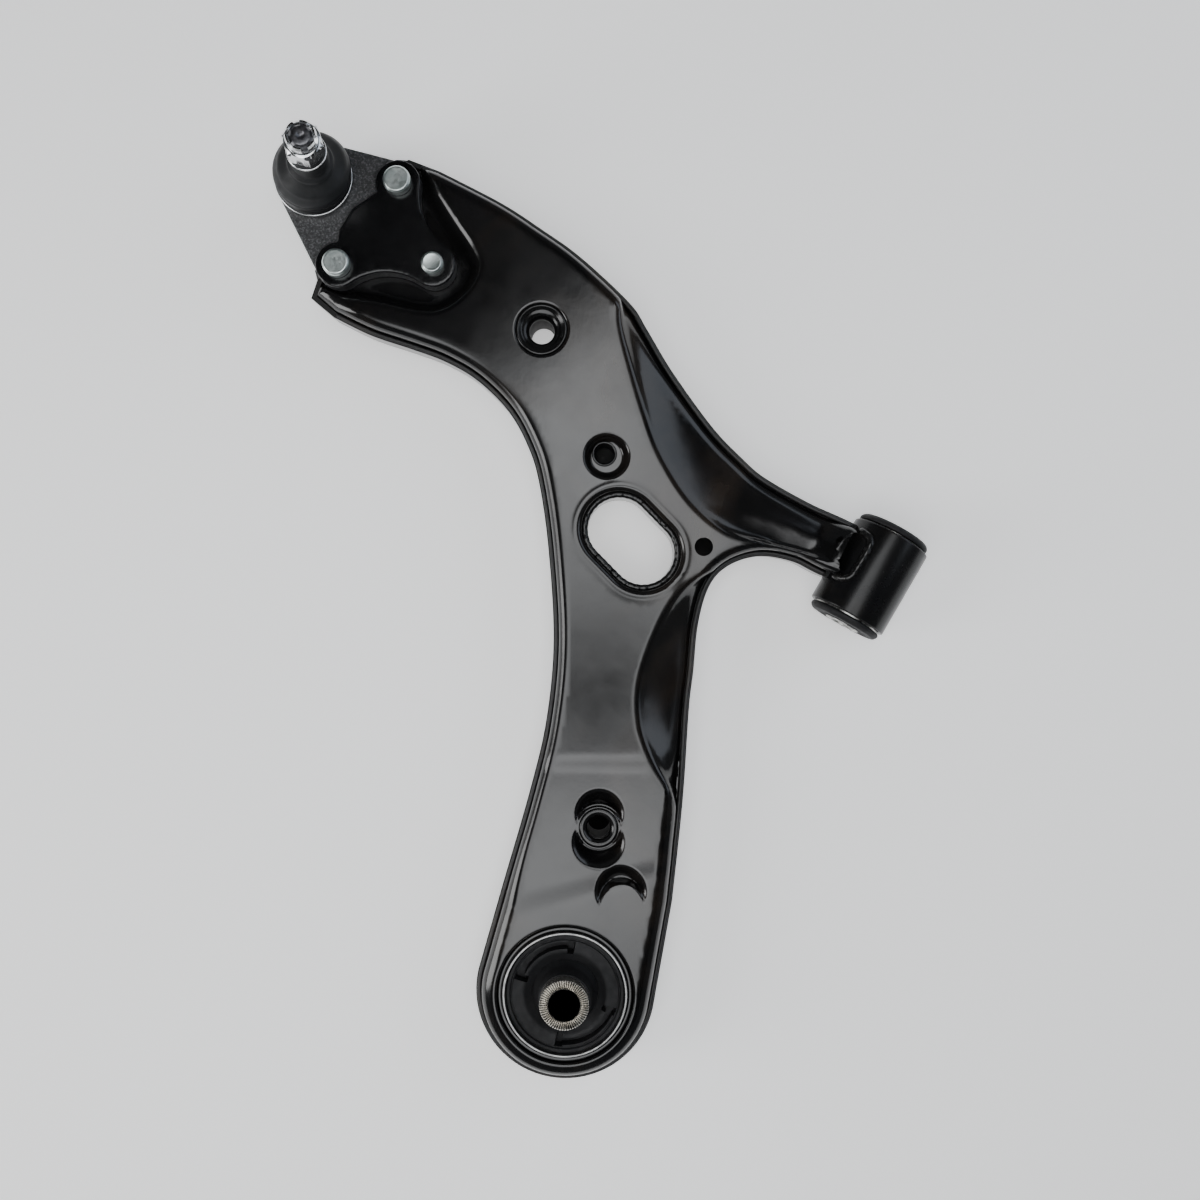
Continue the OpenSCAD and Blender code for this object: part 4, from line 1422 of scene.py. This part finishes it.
def hex_nut(place, top, bottom, bore):
    """A flanged hexagon of 17 mm across flats that hangs under the seat."""
    turns = np.radians(np.arange(0, 360, 3.0))
    rows = [
        (max(bore, 0.01), top, False), (10.1, top, False), (10.5, top - 0.5, False),
        (10.3, top - 1.4, False), (9.0, top - 2.3, True), (9.9, top - 2.9, True),
        (9.9, bottom + 1.2, True), (8.5, bottom + 0.3, True), (7.6, bottom, False),
        (max(bore + 0.6, 5.6), bottom, False), (max(bore, 4.6), bottom + 0.7, False),
        (max(bore, 0.01), bottom + 0.9, False),
    ]
    verts = []
    for a in turns:
        for r, z, hexagon in rows:
            r = min(r, hex_flat(HEX_AF, a)) if hexagon else r
            verts.append(place @ Vector((r * math.cos(a), r * math.sin(a), z)))
    return finish_mesh("hex", verts, ring_faces(len(turns), len(rows)), None, ZINC, 24)


upper_shell()
lower_shell()
welds()
collars()
front_bush()
rear_bush()
ball_joint()
boot()
fasteners()

seat = NODES["ball_seat"]
seat.data.materials.clear()
seat.data.materials.append(ACETAL)

# ------------------------------------------------------------ stage and camera
FLOOR_Z = CAD_BOX[0][2]
VIEW_TURN = math.radians(30)
VIEW_CENTRE = Vector((-0.0921, 0.1981, 0))
VIEW_HEIGHT = 0.675


def in_view(right, up, height):
    """A place given to the right of and above the picture's middle."""
    c, s = math.cos(VIEW_TURN), math.sin(VIEW_TURN)
    return VIEW_CENTRE + Vector((right * c - up * s, right * s + up * c, height))


def plane(name, width, depth, matrix, material):
    mesh = bpy.data.meshes.new(name)
    w, d = width / 2, depth / 2
    mesh.from_pydata([(-w, -d, 0), (w, -d, 0), (w, d, 0), (-w, d, 0)], [], [(0, 1, 2, 3)])
    mesh.materials.append(material)
    obj = new_object(name, mesh)
    obj.matrix_world = matrix
    return obj


def glow(name, edges, spots, strength):
    """Emission of an overhead panel.

    edges are (x, y, start, end): the light fades in from start to end along
    that direction. spots are (x, y, radius, gain): a gain under 1 is darker.
    """
    n = Nodes(name)
    n.tree.nodes.remove(n.bsdf)
    emit = n.add("ShaderNodeEmission")
    n.link(emit, "Emission", n.out, "Surface")
    value = None
    for x, y, start, end in edges:
        out = n.fade(n.against("DOT_PRODUCT", (x, y, 0)), start, end).outputs["Result"]
        value = out if value is None else n.math("MULTIPLY", value, out)
    for x, y, radius, gain in spots:
        ramp = n.fade(n.against("DISTANCE", (x, y, 0)), 0, radius)
        ramp.inputs["To Min"].default_value = gain
        ramp.inputs["To Max"].default_value = 1
        value = n.math("MULTIPLY", value, ramp.outputs["Result"])
    value = n.math("MULTIPLY", value, strength)
    n.tree.links.new(value, emit.inputs["Strength"])
    emit.inputs["Color"].default_value = (0.97, 0.985, 1.0, 1)
    return n.mat


PANEL_HEIGHT = 1.215


def panel():
    """A soft overhead panel whose edges the gloss paint shows."""
    edges = [
        (0.7071, -0.7071, -0.37, -0.27), (-0.7071, 0.7071, -0.62, -0.5),
        (-1, 0, -0.42, -0.26), (1, 0, -0.7, -0.5), (0, 1, -1.0, -0.75), (0, -1, -0.62, -0.46),
    ]
    spots = [
        (0.0, -0.16, 0.24, 0.03), (0.0, -0.29, 0.15, 1.7), (-0.09, 0.28, 0.25, 1.5),
        (-0.1, -0.47, 0.22, 1.25), (0.0, -0.68, 0.2, 0.6),
    ]
    turn = Matrix.Rotation(VIEW_TURN, 4, "Z")
    obj = plane("overhead_panel", 2.6, 2.6, Matrix.Translation(in_view(0, 0, PANEL_HEIGHT)) @ turn,
                glow("panel_glow", edges, spots, PANEL_POWER))
    obj.visible_camera = False


def softbox(name, place, aim, width, depth, power):
    """A rectangular area light that points at a place."""
    data = bpy.data.lights.new(name, "AREA")
    data.shape = "RECTANGLE"
    data.size = width
    data.size_y = depth
    data.energy = power
    obj = new_object(name, data)
    obj.location = place
    obj.rotation_euler = (Vector(aim) - Vector(place)).to_track_quat("-Z", "Y").to_euler()
    return obj


def camera():
    data = bpy.data.cameras.new("camera")
    data.sensor_width = 36
    data.lens = 36
    data.clip_start = 0.05
    obj = new_object("camera", data)
    obj.location = VIEW_CENTRE + Vector((0, 0, VIEW_HEIGHT))
    obj.rotation_euler = (0, 0, VIEW_TURN)
    bpy.context.scene.camera = obj


PANEL_POWER = 3.5
plane("floor", 8, 8, Matrix.Translation((0, 0, FLOOR_Z)), pale_floor())
world = bpy.data.worlds.new("room")
bpy.context.scene.world = world
world.use_nodes = True
world.node_tree.nodes["Background"].inputs["Color"].default_value = (0.9, 0.95, 1.0, 1)
world.node_tree.nodes["Background"].inputs["Strength"].default_value = 0.08
panel()
right = softbox("right", in_view(1.1, 0.45, 1.1), in_view(0, 0, 0), 1.4, 1.4, 9.0)
right.data.color = (0.8, 0.88, 1.0)
softbox("left", in_view(-1.5, -0.3, 0.75), in_view(0, 0, 0), 0.6, 1.2, 13)
camera()
